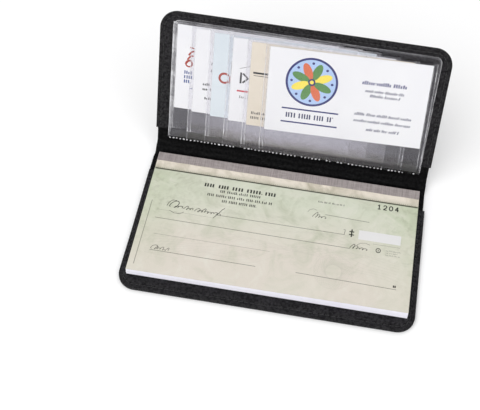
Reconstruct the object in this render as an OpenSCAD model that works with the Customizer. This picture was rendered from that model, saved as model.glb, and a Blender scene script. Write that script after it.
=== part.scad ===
// Checkbook cover: a stiffened leatherette cover with two fold lines, a pad of
// checks held by its backer in the base pocket, and six clear card sleeves
// welded in a fan on the lid. Shown standing open, as on a table.
//
// Frame: millimetres, +Z up, X along the spine, +Y from the front edge towards
// the spine. The origin is the centre of the base panel's outer face.

/* [Cover] */
// Width of the cover along its spine
cover_w = 161; // [158:0.5:170]
// Depth of the base panel, from its front edge to the first fold line
base_d = 90.3; // [90.3:0.1:93]
// Depth of the lid panel, from the second fold line to its free edge
lid_d = 80; // [80:0.5:85]
// Radius of the four free corners
corner_r = 10; // [6:0.5:13]
// Thickness of the outer leatherette
leather_t = 0.65; // [0.6:0.05:0.8]
// Thickness of the stiffening boards
board_t = 0.4; // [0.3:0.05:0.6]
// Thickness of the lining
lining_t = 0.3; // [0.25:0.05:0.4]
// Thickness of the pocket panels
pocket_t = 0.35; // [0.3:0.05:0.5]
// Clear height inside the pockets
pocket_gap = 0.5; // [0.5:0.05:0.7]
// Distance of the stitching from the edges
stitch_in = 2.5; // [2.2:0.1:3.5]

/* [Fold] */
// Rise of the spine above the table, and of the lid above the spine
fold_angle = 33.4; // [0:0.1:56]

/* [Check pad] */
// Width of a check
check_w = 152.4; // [150:0.1:153]
// Height of a check, from its front edge to the tear line
check_h = 69.85; // [66:0.05:69.9]
// Thickness of the stack of checks
pad_t = 4.55; // [3:0.05:6]
// Thickness of the one check that turns on its own
sheet_t = 0.15; // [0.15:0.01:0.2]
// Distance from the front edge of the base to the pad
pad_front = 8.2; // [7:0.1:8.2]
// Width of the stub strip and the binding tape together
bind_w = 11.2; // [10:0.05:11.2]
// Width of the binding tape on the top of the pad
tape_w = 5.9; // [4:0.1:7]
// Thickness of the binding tape
tape_t = 0.1; // [0.08:0.01:0.12]

/* [Card sleeves] */
// Width of a business card
card_w = 88.9; // [85:0.1:89]
// Height of a business card
card_h = 50.8; // [48:0.1:51]
// Thickness of a card
card_t = 0.2; // [0.16:0.02:0.24]
// Thickness of the clear film
film_t = 0.08; // [0.08:0.01:0.1]
// Step to the right from one sleeve to the next
step_x = 10.66; // [9:0.01:10.7]
// Step towards the spine from one sleeve to the next
step_y = 0.86; // [0.8:0.02:0.9]
// Width of the vinyl insert
insert_w = 148; // [148:0.5:150]

/* [Hidden] */
$fn = 64;

e = 0.01;                                  // gap that keeps touching pieces apart
hz = leather_t / 2;                        // height of a fold line in the leatherette
z_board = leather_t;                       // levels in the base, from the outer face
z_lining = z_board + board_t;
z_gap = z_lining + lining_t;
z_pocket = z_gap + pocket_gap;
z_face = z_pocket + pocket_t;              // inner face of a panel
pocket_end = pad_front + check_h + 1.5;    // open edge of the base pocket
pocket_half = 75.9;                        // half the clear width of the base pocket

// check pad
tear_y = pad_front + check_h;              // tear line
pad_z0 = z_face + 0.05;
pad_z1 = pad_z0 + pad_t;                   // top of the pad
pad_end = tear_y + bind_w;
tape_y = pad_end - tape_w;
backer_z = z_gap + 0.05;
backer_t = 0.4;
staple_x = [-50, 0, 50];
staple_y = tape_y + 2.4;

// card sleeves, in the lid's own frame: y from the fold line, z from mid shell
f_gap = z_gap - hz;
f_pocket = z_pocket - hz;
f_face = z_face - hz;
insert_x = 0.8;                            // the insert sits this far right of centre
insert_y0 = 3.4;                           // insert starts at its weld seam
insert_y1 = lid_d - 4.4;
film_z = f_face + 0.02;                    // clear backing
sleeve_z = film_z + film_t + 0.14;         // first sleeve, clear of the rim
cavity = card_t + 0.03;
pitch_z = 2 * film_t + cavity + 0.02;      // one sleeve on the next
card_x = -70.5;                            // left edge of card 1
card_y = lid_d - 57.4;                     // lower edge of card 1
sleeve_y = 3.8;                            // hinge line of sleeve 6
skew = [0, 0.2, 0.6, 0.5, 0.8, 1.35];      // how far each sleeve sits askew, in degrees
side_w = 2.1;                              // width of the side welds
lid_pocket_y = 7.6;                        // open edge of the lid pocket

spine_w = (pad_z1 + tape_t - hz) + (sleeve_z + 6 * pitch_z) + 0.2;

leather = [0.17, 0.165, 0.19];
lining_col = [0.09, 0.09, 0.10];
board_col = [0.62, 0.56, 0.46];
thread_col = [0.13, 0.13, 0.14];
clear_col = [0.72, 0.73, 0.76, 0.45];
paper_col = [0.80, 0.84, 0.76];
card_col = [[0.96, 0.96, 0.96], [0.97, 0.97, 0.96], [0.88, 0.91, 0.93],
            [0.97, 0.97, 0.97], [0.91, 0.88, 0.82], [0.97, 0.97, 0.98]];

// ---------------------------------------------------------------- frames

module base_frame() { translate([0, -base_d / 2, 0]) children(); }

module spine_frame() {
    translate([0, base_d / 2, hz]) rotate([fold_angle, 0, 0]) children();
}

module lid_frame() {
    spine_frame() translate([0, spine_w, 0]) rotate([fold_angle, 0, 0]) children();
}

// ---------------------------------------------------------------- outlines

// outline from y0 to y1 with the two corners at y0 rounded
module front_round(w, y0, y1, r) {
    union() {
        translate([-w / 2 + r, y0]) square([w - 2 * r, y1 - y0]);
        translate([-w / 2, y0 + r]) square([w, y1 - y0 - r]);
        for (s = [-1, 1]) translate([s * (w / 2 - r), y0 + r]) circle(r);
    }
}

// the same with the two corners at y1 rounded
module back_round(w, y0, y1, r) {
    translate([0, y0 + y1]) mirror([0, 1]) front_round(w, y0, y1, r);
}

module slab(z0, z1) { translate([0, 0, z0]) linear_extrude(z1 - z0) children(); }

// U-shaped thread line at the front and sides of a panel
module thread_line(w, y1, inset, t, r) {
    difference() {
        front_round(w - 2 * inset + t, inset - t / 2, y1, r - inset + t / 2);
        front_round(w - 2 * inset - t, inset + t / 2, y1 + 1, r - inset - t / 2);
    }
}

// bar of a pocket's sewn edge, cut from the panel's own outline
module edge_bar(x0, x1, y0, y1) {
    intersection() {
        translate([x0, y0]) square([x1 - x0, y1 - y0]);
        children();
    }
}

// ---------------------------------------------------------------- base

module base_shell() {
    color(leather) base_frame() difference() {
        slab(0, z_lining) front_round(cover_w, 0, base_d - 0.5, corner_r);
        slab(z_board, z_lining + 1) front_round(cover_w - 8, 4, base_d - 4, corner_r - 4);
        slab(-1, 0.15) thread_line(cover_w, base_d - 3, stitch_in, 0.7, corner_r);
    }
}

module base_board() {
    color(board_col) base_frame()
        slab(z_board, z_lining) front_round(cover_w - 8.1, 4.05, base_d - 4.05, corner_r - 4.05);
}

module base_lining() {
    color(lining_col) base_frame()
        slab(z_lining, z_gap) front_round(cover_w, 0, base_d - 1, corner_r);
}

module base_pocket() {
    color(leather) base_frame() {
        slab(z_pocket, z_face) front_round(cover_w, 0, pocket_end, corner_r);
        slab(z_gap, z_pocket - e) edge_bar(-cover_w, cover_w, 0, pad_front)
            front_round(cover_w, 0, pocket_end, corner_r);
        for (s = [0, 1]) mirror([s, 0, 0])
            slab(z_gap, z_pocket - e) edge_bar(pocket_half, cover_w, pad_front + e, pocket_end)
                front_round(cover_w, 0, pocket_end, corner_r);
    }
}

module base_stitching() {
    color(thread_col) base_frame() {
        slab(z_face, z_face + 0.14) thread_line(cover_w, pocket_end - 1, stitch_in, 0.5, corner_r);
        slab(0.02, 0.14) thread_line(cover_w, base_d - 3.1, stitch_in, 0.5, corner_r);
    }
}

// ---------------------------------------------------------------- check pad

module pad_backer() {
    color(board_col) base_frame() difference() {
        translate([-75.2, pad_front + 1.5, backer_z]) cube([150.4, pad_end - 0.2 - pad_front - 1.5, backer_t]);
        for (x = staple_x) {
            for (s = [-1, 1]) translate([x + s * 5.5 - 0.35, staple_y - 0.35, backer_z - 1]) cube([0.7, 0.7, 3]);
            translate([x - 5.7, staple_y - 0.35, backer_z - 1]) cube([11.4, 0.7, 1.15]);
        }
    }
}

module check_stack() {
    color(paper_col) base_frame() difference() {
        union() {
            translate([-check_w / 2, pad_front, pad_z0]) cube([check_w, pad_end - pad_front, pad_z1 - sheet_t - pad_z0]);
            translate([-check_w / 2, pocket_end + 0.4, backer_z + backer_t])
                cube([check_w, pad_end - pocket_end - 0.4, 2]);
        }
        for (x = staple_x, s = [-1, 1])
            translate([x + s * 5.5 - 0.35, staple_y - 0.35, 0]) cube([0.7, 0.7, pad_z1 + 1]);
    }
}

module check_stub() {
    color([0.83, 0.79, 0.71]) base_frame() difference() {
        translate([-check_w / 2, tear_y + 0.1, pad_z1 - sheet_t]) cube([check_w, pad_end - tear_y - 0.1, sheet_t]);
        for (x = staple_x)
            translate([x - 6, staple_y - 0.35, pad_z1 - 1]) cube([12, 0.7, 2]);
    }
}

module binding_tape() {
    color([0.65, 0.61, 0.61]) base_frame() {
        translate([-check_w / 2, tape_y, pad_z1]) cube([check_w, pad_end + tape_t - tape_y, tape_t]);
        translate([-check_w / 2, pad_end, backer_z + 0.05]) cube([check_w, tape_t, pad_z1 - backer_z]);
    }
}

// three wire staples through the stub, clinched under the backer
module pad_staples() {
    color([0.75, 0.76, 0.78]) base_frame()
        for (x = staple_x) {
            translate([x - 5.75, staple_y - 0.2, pad_z1 - 0.13]) cube([11.5, 0.4, 0.12]);
            for (s = [-1, 1])
                translate([x + s * 5.5 - 0.25, staple_y - 0.2, backer_z + 0.01]) cube([0.5, 0.4, pad_z1 - 0.1 - backer_z]);
            for (s = [0, 1]) translate([x, 0, 0]) mirror([s, 0, 0])
                translate([1.2, staple_y - 0.2, backer_z + 0.01]) cube([4.5, 0.4, 0.12]);
        }
}

module top_check() {
    color(paper_col) base_frame()
        translate([-check_w / 2, pad_front, pad_z1 - sheet_t]) cube([check_w, check_h - 0.05, sheet_t]);
}

// ---------------------------------------------------------------- spine

// flexible strip with a rounded bead of leatherette along each fold line
module spine_shell() {
    color(leather) spine_frame() union() {
        translate([-cover_w / 2, 0, -hz]) cube([cover_w, spine_w, leather_t]);
        for (y = [0, spine_w]) translate([-cover_w / 2, y, 0]) rotate([0, 90, 0]) cylinder(h = cover_w, r = hz);
    }
}

module spine_lining() {
    color(lining_col) spine_frame()
        translate([-cover_w / 2, 0.8, hz]) cube([cover_w, spine_w - 1.6, lining_t]);
}

// ---------------------------------------------------------------- lid

module lid_shell() {
    color(leather) lid_frame() difference() {
        slab(-hz, hz + board_t) back_round(cover_w, 0.5, lid_d, corner_r);
        slab(hz, hz + board_t + 1) back_round(cover_w - 8, 4, lid_d - 4, corner_r - 4);
        slab(-hz - 1, -hz + 0.15) translate([0, lid_d]) mirror([0, 1])
            thread_line(cover_w, lid_d - 3, stitch_in, 0.7, corner_r);
    }
}

module lid_board() {
    color(board_col) lid_frame()
        slab(hz, hz + board_t) back_round(cover_w - 8.1, 4.05, lid_d - 4.05, corner_r - 4.05);
}

module lid_lining() {
    color(lining_col) lid_frame()
        slab(hz + board_t, f_gap) back_round(cover_w, 1, lid_d, corner_r);
}

module lid_pocket() {
    color(leather) lid_frame() {
        slab(f_pocket, f_face) back_round(cover_w, lid_pocket_y, lid_d, corner_r);
        slab(f_gap, f_pocket - e) edge_bar(-cover_w, cover_w, lid_d - 8, lid_d)
            back_round(cover_w, lid_pocket_y, lid_d, corner_r);
        for (s = [0, 1]) mirror([s, 0, 0])
            slab(f_gap, f_pocket - e) edge_bar(pocket_half, cover_w, lid_pocket_y, lid_d - 8 - e)
                back_round(cover_w, lid_pocket_y, lid_d, corner_r);
    }
}

module lid_stitching() {
    color(thread_col) lid_frame() {
        slab(f_face, f_face + 0.14) translate([0, lid_d]) mirror([0, 1])
            thread_line(cover_w, lid_d - lid_pocket_y - 1, stitch_in, 0.5, corner_r);
        slab(-hz + 0.02, -hz + 0.14) translate([0, lid_d]) mirror([0, 1])
            thread_line(cover_w, lid_d - 3.1, stitch_in, 0.5, corner_r);
    }
}

// ---------------------------------------------------------------- vinyl insert

// stiff tab that holds the insert in the lid pocket
module insert_tab() {
    color([0.80, 0.80, 0.82]) lid_frame()
        translate([insert_x - 72, insert_y0, f_gap + 0.1]) cube([144, 66, 0.3]);
}

module vinyl_backing() {
    color(clear_col) lid_frame() translate([insert_x, 0, 0])
        slab(film_z, film_z + film_t) back_round(insert_w, insert_y0, insert_y1, 3.8);
}

// raised heat-welded rim round the insert
module vinyl_edge_weld() {
    color([0.80, 0.81, 0.84]) lid_frame() translate([insert_x, 0, 0])
        slab(film_z + film_t, film_z + film_t + 0.12) difference() {
            back_round(insert_w, insert_y0 + 0.4, insert_y1, 3.8);
            back_round(insert_w - 1.6, insert_y0 - 1, insert_y1 - 0.8, 3);
        }
}

module vinyl_weld_seam() {
    color([0.80, 0.81, 0.84]) lid_frame()
        translate([insert_x - insert_w / 2, insert_y0 - 1, f_gap + 0.05]) cube([insert_w, 1, 1.4]);
}

// lower left corner of card k, with y along the card's own left edge
module at_card(k) {
    lid_frame() translate([card_x + (k - 1) * step_x, card_y - (k - 1) * step_y,
                           sleeve_z + (k - 1) * pitch_z]) rotate([0, 0, skew[k - 1]]) children();
}

// clear sleeve k, from 1 at the back to 6 at the front, open at its top edge;
// its back sheet runs down to the hinge line at the weld seam
module sleeve(k) {
    below = card_y - (k - 1) * step_y - sleeve_y - (6 - k) * step_y - 0.1;
    deep = below - 1;                      // the pocket is this much deeper than the card
    w = card_w + 2 * (side_w + 0.3);
    color(clear_col) at_card(k) translate([-side_w - 0.3, 0, 0]) {
        translate([0, -below, 0]) cube([w, below + card_h + 1.1, film_t]);
        translate([0, -deep, film_t + cavity]) cube([w, deep + card_h + 1.1, film_t]);
        for (x = [0, w - side_w]) translate([x, e - deep + 1, film_t + e])
            cube([side_w, deep - 1 + card_h + 1.1 - e, cavity - 2 * e]);
        translate([0, -deep, film_t + e]) cube([w, 1 - 2 * e, cavity - 2 * e]);
    }
}

module card(k) {
    color(card_col[k - 1]) at_card(k)
        translate([0, 0, film_t + (cavity - card_t) / 2]) cube([card_w, card_h, card_t]);
}

module sleeve_1() { sleeve(1); }
module sleeve_2() { sleeve(2); }
module sleeve_3() { sleeve(3); }
module sleeve_4() { sleeve(4); }
module sleeve_5() { sleeve(5); }
module sleeve_6() { sleeve(6); }
module card_1() { card(1); }
module card_2() { card(2); }
module card_3() { card(3); }
module card_4() { card(4); }
module card_5() { card(5); }
module card_6() { card(6); }

base_shell();
base_board();
base_lining();
base_pocket();
base_stitching();
pad_backer();
check_stack();
check_stub();
binding_tape();
pad_staples();
top_check();
spine_shell();
spine_lining();
lid_shell();
lid_board();
lid_lining();
lid_pocket();
lid_stitching();
insert_tab();
vinyl_backing();
vinyl_edge_weld();
vinyl_weld_seam();
sleeve_1();
sleeve_2();
sleeve_3();
sleeve_4();
sleeve_5();
sleeve_6();
card_1();
card_2();
card_3();
card_4();
card_5();
card_6();
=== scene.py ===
import math
import random

import bmesh
import bpy
import numpy as np
from mathutils import Matrix, Vector
from mathutils.geometry import delaunay_2d_cdt


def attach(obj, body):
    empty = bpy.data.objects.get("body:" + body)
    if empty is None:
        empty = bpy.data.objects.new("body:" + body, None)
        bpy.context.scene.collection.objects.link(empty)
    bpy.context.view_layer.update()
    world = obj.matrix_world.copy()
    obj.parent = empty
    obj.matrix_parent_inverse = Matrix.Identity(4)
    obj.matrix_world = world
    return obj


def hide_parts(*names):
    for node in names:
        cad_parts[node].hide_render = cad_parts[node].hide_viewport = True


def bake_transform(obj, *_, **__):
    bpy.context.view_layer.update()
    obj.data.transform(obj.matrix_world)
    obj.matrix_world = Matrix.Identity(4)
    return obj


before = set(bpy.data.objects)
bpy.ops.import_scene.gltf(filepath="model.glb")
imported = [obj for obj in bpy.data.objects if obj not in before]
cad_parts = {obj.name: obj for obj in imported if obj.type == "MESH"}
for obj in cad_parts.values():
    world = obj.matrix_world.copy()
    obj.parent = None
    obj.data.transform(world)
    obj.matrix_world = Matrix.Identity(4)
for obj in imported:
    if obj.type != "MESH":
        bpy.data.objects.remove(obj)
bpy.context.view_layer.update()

scene = bpy.context.scene

# ------------------------------------------------------------------ sizes
# Millimetres, as in the CAD. A point is given by (x, s, h): x along the spine,
# s along the flat, unfolded cover from the front edge of the base, and h above
# the middle of the outer leatherette, towards the inside.

MM = 0.001
HALF_W = 80.5
BASE_D = 90.3
SPINE_W = 11.35
LID_D = 80.0
HZ = 0.325
S1 = BASE_D                  # first fold line
S2 = BASE_D + SPINE_W        # second fold line
S3 = S2 + LID_D              # free edge of the lid
FOLD = math.radians(33.4)    # rise at each fold line as shown
CORNER = 10.0
NECK = 0.85                  # the cover is this much narrower between its pockets
Z_FACE = 2.2
POCKET_END = 79.55
LID_POCKET = 72.4            # from the lid's free edge
PAD_X = 76.2
PAD_Y0, TEAR_Y, PAD_Y1 = 8.2, 78.05, 89.25
PAD_TOP = 6.8
TAPE_Y = 83.35
F_FACE = 1.875
FILM_Z = 1.895
FILM_T = 0.08
SLEEVE_Z = 2.115
PITCH = 0.41
CARD_W, CARD_H, CARD_T = 88.9, 50.8, 0.2
CARD_X, CARD_Y = -70.5, 22.6
STEP_X, STEP_Y = 10.66, 0.86
SKEW = [0.0, 0.2, 0.6, 0.5, 0.8, 1.35]
INSERT_X, INSERT_HW = 0.8, 74.0
INSERT_Y0, INSERT_Y1 = 3.4, 75.6


def smooth(t):
    t = np.clip(t, 0.0, 1.0)
    return t * t * (3 - 2 * t)


def fold(x, s, h):
    """Points of the unfolded cover as they stand, in metres in the row frame."""
    x, s, h = np.broadcast_arrays(np.asarray(x, float), np.asarray(s, float), np.asarray(h, float))
    a = FOLD * smooth((s - (S2 - 5.0)) / 5.0)
    r = s - S2
    y = S2 + r * np.cos(a) - h * np.sin(a)
    z = r * np.sin(a) + h * np.cos(a)
    b = FOLD * smooth((s - S1) / 5.0)
    r = y - S1
    y2 = S1 + r * np.cos(b) - z * np.sin(b)
    z2 = r * np.sin(b) + z * np.cos(b)
    return np.stack([x, y2 - BASE_D / 2, z2 + HZ], axis=-1) * MM


def lid(x, y, z):
    """The lid's own frame: y from the second fold line, z from mid shell."""
    return fold(x, np.asarray(y, float) + S2, z)


def base(x, y, z):
    """The base's own frame: y from the front edge, z from the table."""
    return fold(x, y, np.asarray(z, float) - HZ)


def wave(seed, n, lo, hi):
    """Slow random waves over the cover, between about -1 and 1."""
    rng = np.random.default_rng(seed)
    k = rng.uniform(lo, hi, n)
    a = rng.uniform(0, math.tau, n)
    p = rng.uniform(0, math.tau, n)
    kx, ky = k * np.cos(a), k * np.sin(a)

    def at(x, y):
        x, y = np.broadcast_arrays(np.asarray(x, float), np.asarray(y, float))
        total = np.zeros(x.shape)
        for i in range(n):
            total += np.sin(kx[i] * x + ky[i] * y + p[i])
        return total / n ** 0.5 / 1.5
    return at


# ------------------------------------------------------------------ meshes

def new_object(name, verts, faces, mats, index=None, sharp=40.0, fix=True, attrs=None, flat=False):
    me = bpy.data.meshes.new(name)
    me.from_pydata([tuple(v) for v in np.asarray(verts, float).reshape(-1, 3)], [], [tuple(int(i) for i in f) for f in faces])
    for m in mats:
        me.materials.append(m)
    if index is not None:
        me.polygons.foreach_set("material_index", np.asarray(index, np.int32))
    for key, values in (attrs or {}).items():
        at = me.attributes.new(key, "FLOAT", "POINT")
        at.data.foreach_set("value", np.asarray(values, np.float32).ravel())
    if fix:
        bm = bmesh.new()
        bm.from_mesh(me)
        bmesh.ops.recalc_face_normals(bm, faces=bm.faces[:])
        bm.to_mesh(me)
        bm.free()
    me.polygons.foreach_set("use_smooth", [not flat] * len(me.polygons))
    if not flat:
        me.set_sharp_from_angle(angle=math.radians(sharp))
    me.update()
    ob = bpy.data.objects.new(name, me)
    scene.collection.objects.link(ob)
    return ob


def edge_curve(o, rho):
    """A quarter round, from 0 at the outline to 1 at the distance rho."""
    t = 1 - np.clip(o / rho, 0, 1)
    return np.sqrt(np.maximum(0, 1 - t * t))


def panel(name, rows, offs, n_mid, half, radius, low, high, place, mats, region=None, cap=False,
          closed_end=False, attrs=None, sharp=50.0, half_left=None):
    """A thin closed panel as two skins that meet in a rounded edge. rows are distances from the outline's
    edge with the two round corners, half(row) is half the width, low and high give the two skins' heights
    from (distance to the outline, x, row), and place puts (x, row, height) in the row frame."""
    rows = np.asarray(rows, float)
    offs = np.asarray(offs, float)
    end = rows[-1]
    full = half(np.array([radius + 1.0]))[0]
    inner = full - radius
    bend = inner + np.sqrt(np.maximum(0, radius ** 2 - (radius - np.minimum(rows, radius)) ** 2))
    hr = np.where(rows < radius, bend, half(rows))
    hl = np.where(rows < radius, bend, (half_left or half)(rows))
    left = -hl[:, None] + offs[None, :]
    right = (hr[:, None] - offs[None, :])[:, ::-1]
    t = np.linspace(0, 1, n_mid + 2)[1:-1]
    mid = left[:, -1:] + (right[:, :1] - left[:, -1:]) * t[None, :]
    X = np.concatenate([left, mid, right], axis=1)
    R = np.repeat(rows[:, None], X.shape[1], axis=1)
    O = np.minimum(np.minimum(hr[:, None] - X, hl[:, None] + X), R)
    if closed_end:
        O = np.minimum(O, end - R)
    corner = (R < radius) & (np.abs(X) > inner)
    O = np.where(corner, radius - np.hypot(radius - R, np.abs(X) - inner), O)
    O = np.maximum(O, 0)
    nr, nc = X.shape
    shared = np.zeros((nr, nc), bool)
    shared[0, :] = True
    shared[:, 0] = shared[:, -1] = True
    if closed_end:
        shared[-1, :] = True
    O = np.where(shared, 0.0, O)
    zl, zh = low(O, X, R), high(O, X, R)
    zm = np.where(shared, (zl + zh) / 2, zh)
    top = np.arange(nr * nc).reshape(nr, nc)
    rest = np.flatnonzero(~shared.ravel())
    bottom = top.copy().ravel()
    bottom[rest] = nr * nc + np.arange(len(rest))
    bottom = bottom.reshape(nr, nc)
    pts = np.concatenate([place(X, R, zm).reshape(-1, 3), place(X, R, zl).reshape(-1, 3)[rest]])
    faces, index = [], []
    for grid, side in ((top, 1), (bottom, 0)):
        a, b, c, d = grid[:-1, :-1], grid[:-1, 1:], grid[1:, 1:], grid[1:, :-1]
        quads = np.stack([a, b, c, d], axis=-1).reshape(-1, 4)
        faces += quads.tolist()
        if region is None:
            index += [0] * len(quads)
        else:
            rm = ((R[:-1, :-1] + R[1:, 1:]) / 2).ravel()
            om = ((O[:-1, :-1] + O[1:, 1:]) / 2).ravel()
            index += region(side, rm, om).tolist()
    if cap:
        for j in range(nc - 1):
            f = [top[-1, j], top[-1, j + 1], bottom[-1, j + 1], bottom[-1, j]]
            f = list(dict.fromkeys(f))
            if len(f) > 2:
                faces.append(f)
                index.append(0)
    extra = {"edge_d": np.concatenate([O.ravel(), O.ravel()[rest]])}
    for key, fn in (attrs or {}).items():
        v_top, v_low = fn(1, O, X, R), fn(0, O, X, R)
        extra[key] = np.concatenate([v_top.ravel(), v_low.ravel()[rest]])
    return new_object(name, pts, faces, mats, index, sharp=sharp, attrs=extra)


def sweep(rings, closed_ring=True, caps=True):
    """Vertices and faces of a tube through a list of rings, each an (n, 3) array."""
    rings = [np.asarray(r, float) for r in rings]
    n = len(rings[0])
    verts = np.concatenate(rings)
    faces = []
    for i in range(len(rings) - 1):
        for j in range(n if closed_ring else n - 1):
            k = (j + 1) % n
            faces.append([i * n + j, i * n + k, (i + 1) * n + k, (i + 1) * n + j])
    if caps:
        faces.append(list(range(n))[::-1])
        faces.append([(len(rings) - 1) * n + j for j in range(n)])
    return verts, faces


def join_parts(parts):
    """One vertex and face list, with a material index per part."""
    verts, faces, index, at = [], [], [], 0
    for v, f, m in parts:
        verts.append(v)
        faces += [[i + at for i in face] for face in f]
        index += [m] * len(f) if np.isscalar(m) else list(m)
        at += len(v)
    return np.concatenate(verts), faces, index


# ------------------------------------------------------------------ materials

def shader(name):
    m = bpy.data.materials.new(name)
    m.use_nodes = True
    nt = m.node_tree
    nt.nodes.clear()
    out = nt.nodes.new("ShaderNodeOutputMaterial")
    bsdf = nt.nodes.new("ShaderNodeBsdfPrincipled")
    nt.links.new(bsdf.outputs[0], out.inputs["Surface"])
    return m, nt, bsdf, out


def srgb(r, g, b):
    def one(c):
        c /= 255
        return c / 12.92 if c <= 0.04045 else ((c + 0.055) / 1.055) ** 2.4
    return (one(r), one(g), one(b), 1.0)


def coords(nt, scale=(1, 1, 1), rot=(0, 0, 0)):
    tc = nt.nodes.new("ShaderNodeTexCoord")
    mp = nt.nodes.new("ShaderNodeMapping")
    mp.inputs["Scale"].default_value = scale
    mp.inputs["Rotation"].default_value = rot
    nt.links.new(tc.outputs["Object"], mp.inputs["Vector"])
    return mp.outputs["Vector"]


def noise(nt, vec, scale, detail=3.0, rough=0.55, distort=0.0):
    n = nt.nodes.new("ShaderNodeTexNoise")
    n.inputs["Scale"].default_value = scale
    n.inputs["Detail"].default_value = detail
    n.inputs["Roughness"].default_value = rough
    n.inputs["Distortion"].default_value = distort
    nt.links.new(vec, n.inputs["Vector"])
    return n.outputs[0]


def voronoi(nt, vec, scale, feature="F1", smoothness=0.6):
    n = nt.nodes.new("ShaderNodeTexVoronoi")
    n.feature = feature
    n.inputs["Scale"].default_value = scale
    if feature == "SMOOTH_F1":
        n.inputs["Smoothness"].default_value = smoothness
    nt.links.new(vec, n.inputs["Vector"])
    return n.outputs["Distance"]


def maths(nt, op, a, b=None, clamp=False):
    n = nt.nodes.new("ShaderNodeMath")
    n.operation = op
    n.use_clamp = clamp
    for i, v in enumerate((a, b)):
        if v is None:
            continue
        if isinstance(v, (int, float)):
            n.inputs[i].default_value = v
        else:
            nt.links.new(v, n.inputs[i])
    return n.outputs[0]


def ranged(nt, v, lo, hi, to_lo=0.0, to_hi=1.0):
    n = nt.nodes.new("ShaderNodeMapRange")
    n.inputs["From Min"].default_value = lo
    n.inputs["From Max"].default_value = hi
    n.inputs["To Min"].default_value = to_lo
    n.inputs["To Max"].default_value = to_hi
    nt.links.new(v, n.inputs["Value"])
    return n.outputs[0]


def mix(nt, fac, a, b):
    n = nt.nodes.new("ShaderNodeMix")
    n.data_type = "RGBA"
    if isinstance(fac, (int, float)):
        n.inputs[0].default_value = fac
    else:
        nt.links.new(fac, n.inputs[0])
    for i, v in ((6, a), (7, b)):
        if isinstance(v, tuple):
            n.inputs[i].default_value = v
        else:
            nt.links.new(v, n.inputs[i])
    return n.outputs[2]


def attribute(nt, name):
    n = nt.nodes.new("ShaderNodeAttribute")
    n.attribute_name = name
    return n.outputs["Fac"]


def bump(nt, bsdf, height, strength, distance):
    b = nt.nodes.new("ShaderNodeBump")
    b.inputs["Strength"].default_value = strength
    b.inputs["Distance"].default_value = distance
    nt.links.new(height, b.inputs["Height"])
    nt.links.new(b.outputs["Normal"], bsdf.inputs["Normal"])


def leather(name, dark, light, grain, depth, rough, spec, worn=None, speckle=0.0, calm=0.0):
    m, nt, bsdf, _ = shader(name)
    v = coords(nt)
    cells = voronoi(nt, v, 1000 / grain, "SMOOTH_F1", 0.45)
    fine = noise(nt, v, 2100 / grain, 3.0, 0.6)
    broad = noise(nt, v, 45, 3.0, 0.6)
    wrinkle = noise(nt, v, 420 / grain, 2.0, 0.5, 0.8)
    col = mix(nt, ranged(nt, broad, 0.35, 0.68), dark, light)
    valley = ranged(nt, cells, 0.1, 0.7, 1.22, 0.55)
    n = nt.nodes.new("ShaderNodeMix")
    n.data_type = "RGBA"
    n.blend_type = "MULTIPLY"
    n.inputs[0].default_value = 1.0
    nt.links.new(col, n.inputs[6])
    nt.links.new(valley, n.inputs[7])
    col = n.outputs[2]
    if speckle:
        spots = ranged(nt, noise(nt, v, 640, 2.0, 0.6), 0.34, 0.66, 1 - speckle, 1 + speckle)
        m2 = nt.nodes.new("ShaderNodeMix")
        m2.data_type = "RGBA"
        m2.blend_type = "MULTIPLY"
        m2.inputs[0].default_value = 1.0
        nt.links.new(col, m2.inputs[6])
        nt.links.new(spots, m2.inputs[7])
        col = m2.outputs[2]
    if worn:
        rub = maths(nt, "MULTIPLY", ranged(nt, attribute(nt, "edge_d"), 0.0, 1.1, 1.0, 0.0), ranged(nt, noise(nt, v, 130, 4.0), 0.35, 0.65, 0.5, 1.0))
        col = mix(nt, maths(nt, "MULTIPLY", rub, 0.85), col, worn)
        # painted shade: the colour darkens along the stitching groove, where the groove and needle holes lie in shade;
        # on the lid's outer face the band below the upper line is darker in colour too
        groove_shade_and_band = attribute(nt, "groove_shade_and_band")
        col = mix(nt, maths(nt, "MULTIPLY", groove_shade_and_band, 0.85, True), col, (dark[0] * 0.3, dark[1] * 0.3, dark[2] * 0.3, 1))
    r = ranged(nt, maths(nt, "ADD", fine, broad), 0.7, 1.3, rough - 0.06, rough + 0.08)
    if worn:
        # painted highlight: along the embossed lines the colour is lightened towards pale grey; the roughness is also
        # lowered there
        gloss_and_painted_highlight = maths(nt, "MULTIPLY", attribute(nt, "gloss_and_highlight"), ranged(nt, noise(nt, v, 820, 2.0, 0.6), 0.4, 0.6, 0.25, 1.0))
        col = mix(nt, maths(nt, "MULTIPLY", gloss_and_painted_highlight, 0.8, True), col, srgb(72, 71, 76))
        r = maths(nt, "SUBTRACT", r, maths(nt, "MULTIPLY", gloss_and_painted_highlight, 0.22), True)
    nt.links.new(col, bsdf.inputs["Base Color"])
    nt.links.new(r, bsdf.inputs["Roughness"])
    bsdf.inputs["Specular IOR Level"].default_value = spec
    if speckle:
        nt.links.new(ranged(nt, noise(nt, v, 760, 2.0, 0.6), 0.36, 0.64, spec * (1 - 1.6 * speckle), spec * (1 + 2.4 * speckle)), bsdf.inputs["Specular IOR Level"])
    h = maths(nt, "ADD", maths(nt, "MULTIPLY", cells, 0.55), maths(nt, "ADD", maths(nt, "MULTIPLY", fine, 0.25), maths(nt, "MULTIPLY", wrinkle, 0.45)))
    if calm:
        h = maths(nt, "MULTIPLY", h, ranged(nt, attribute(nt, "edge_d"), 5.2, 7.0, 1.0, 1 - calm))
    bump(nt, bsdf, h, depth, 0.00036 * grain)
    return m


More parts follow.
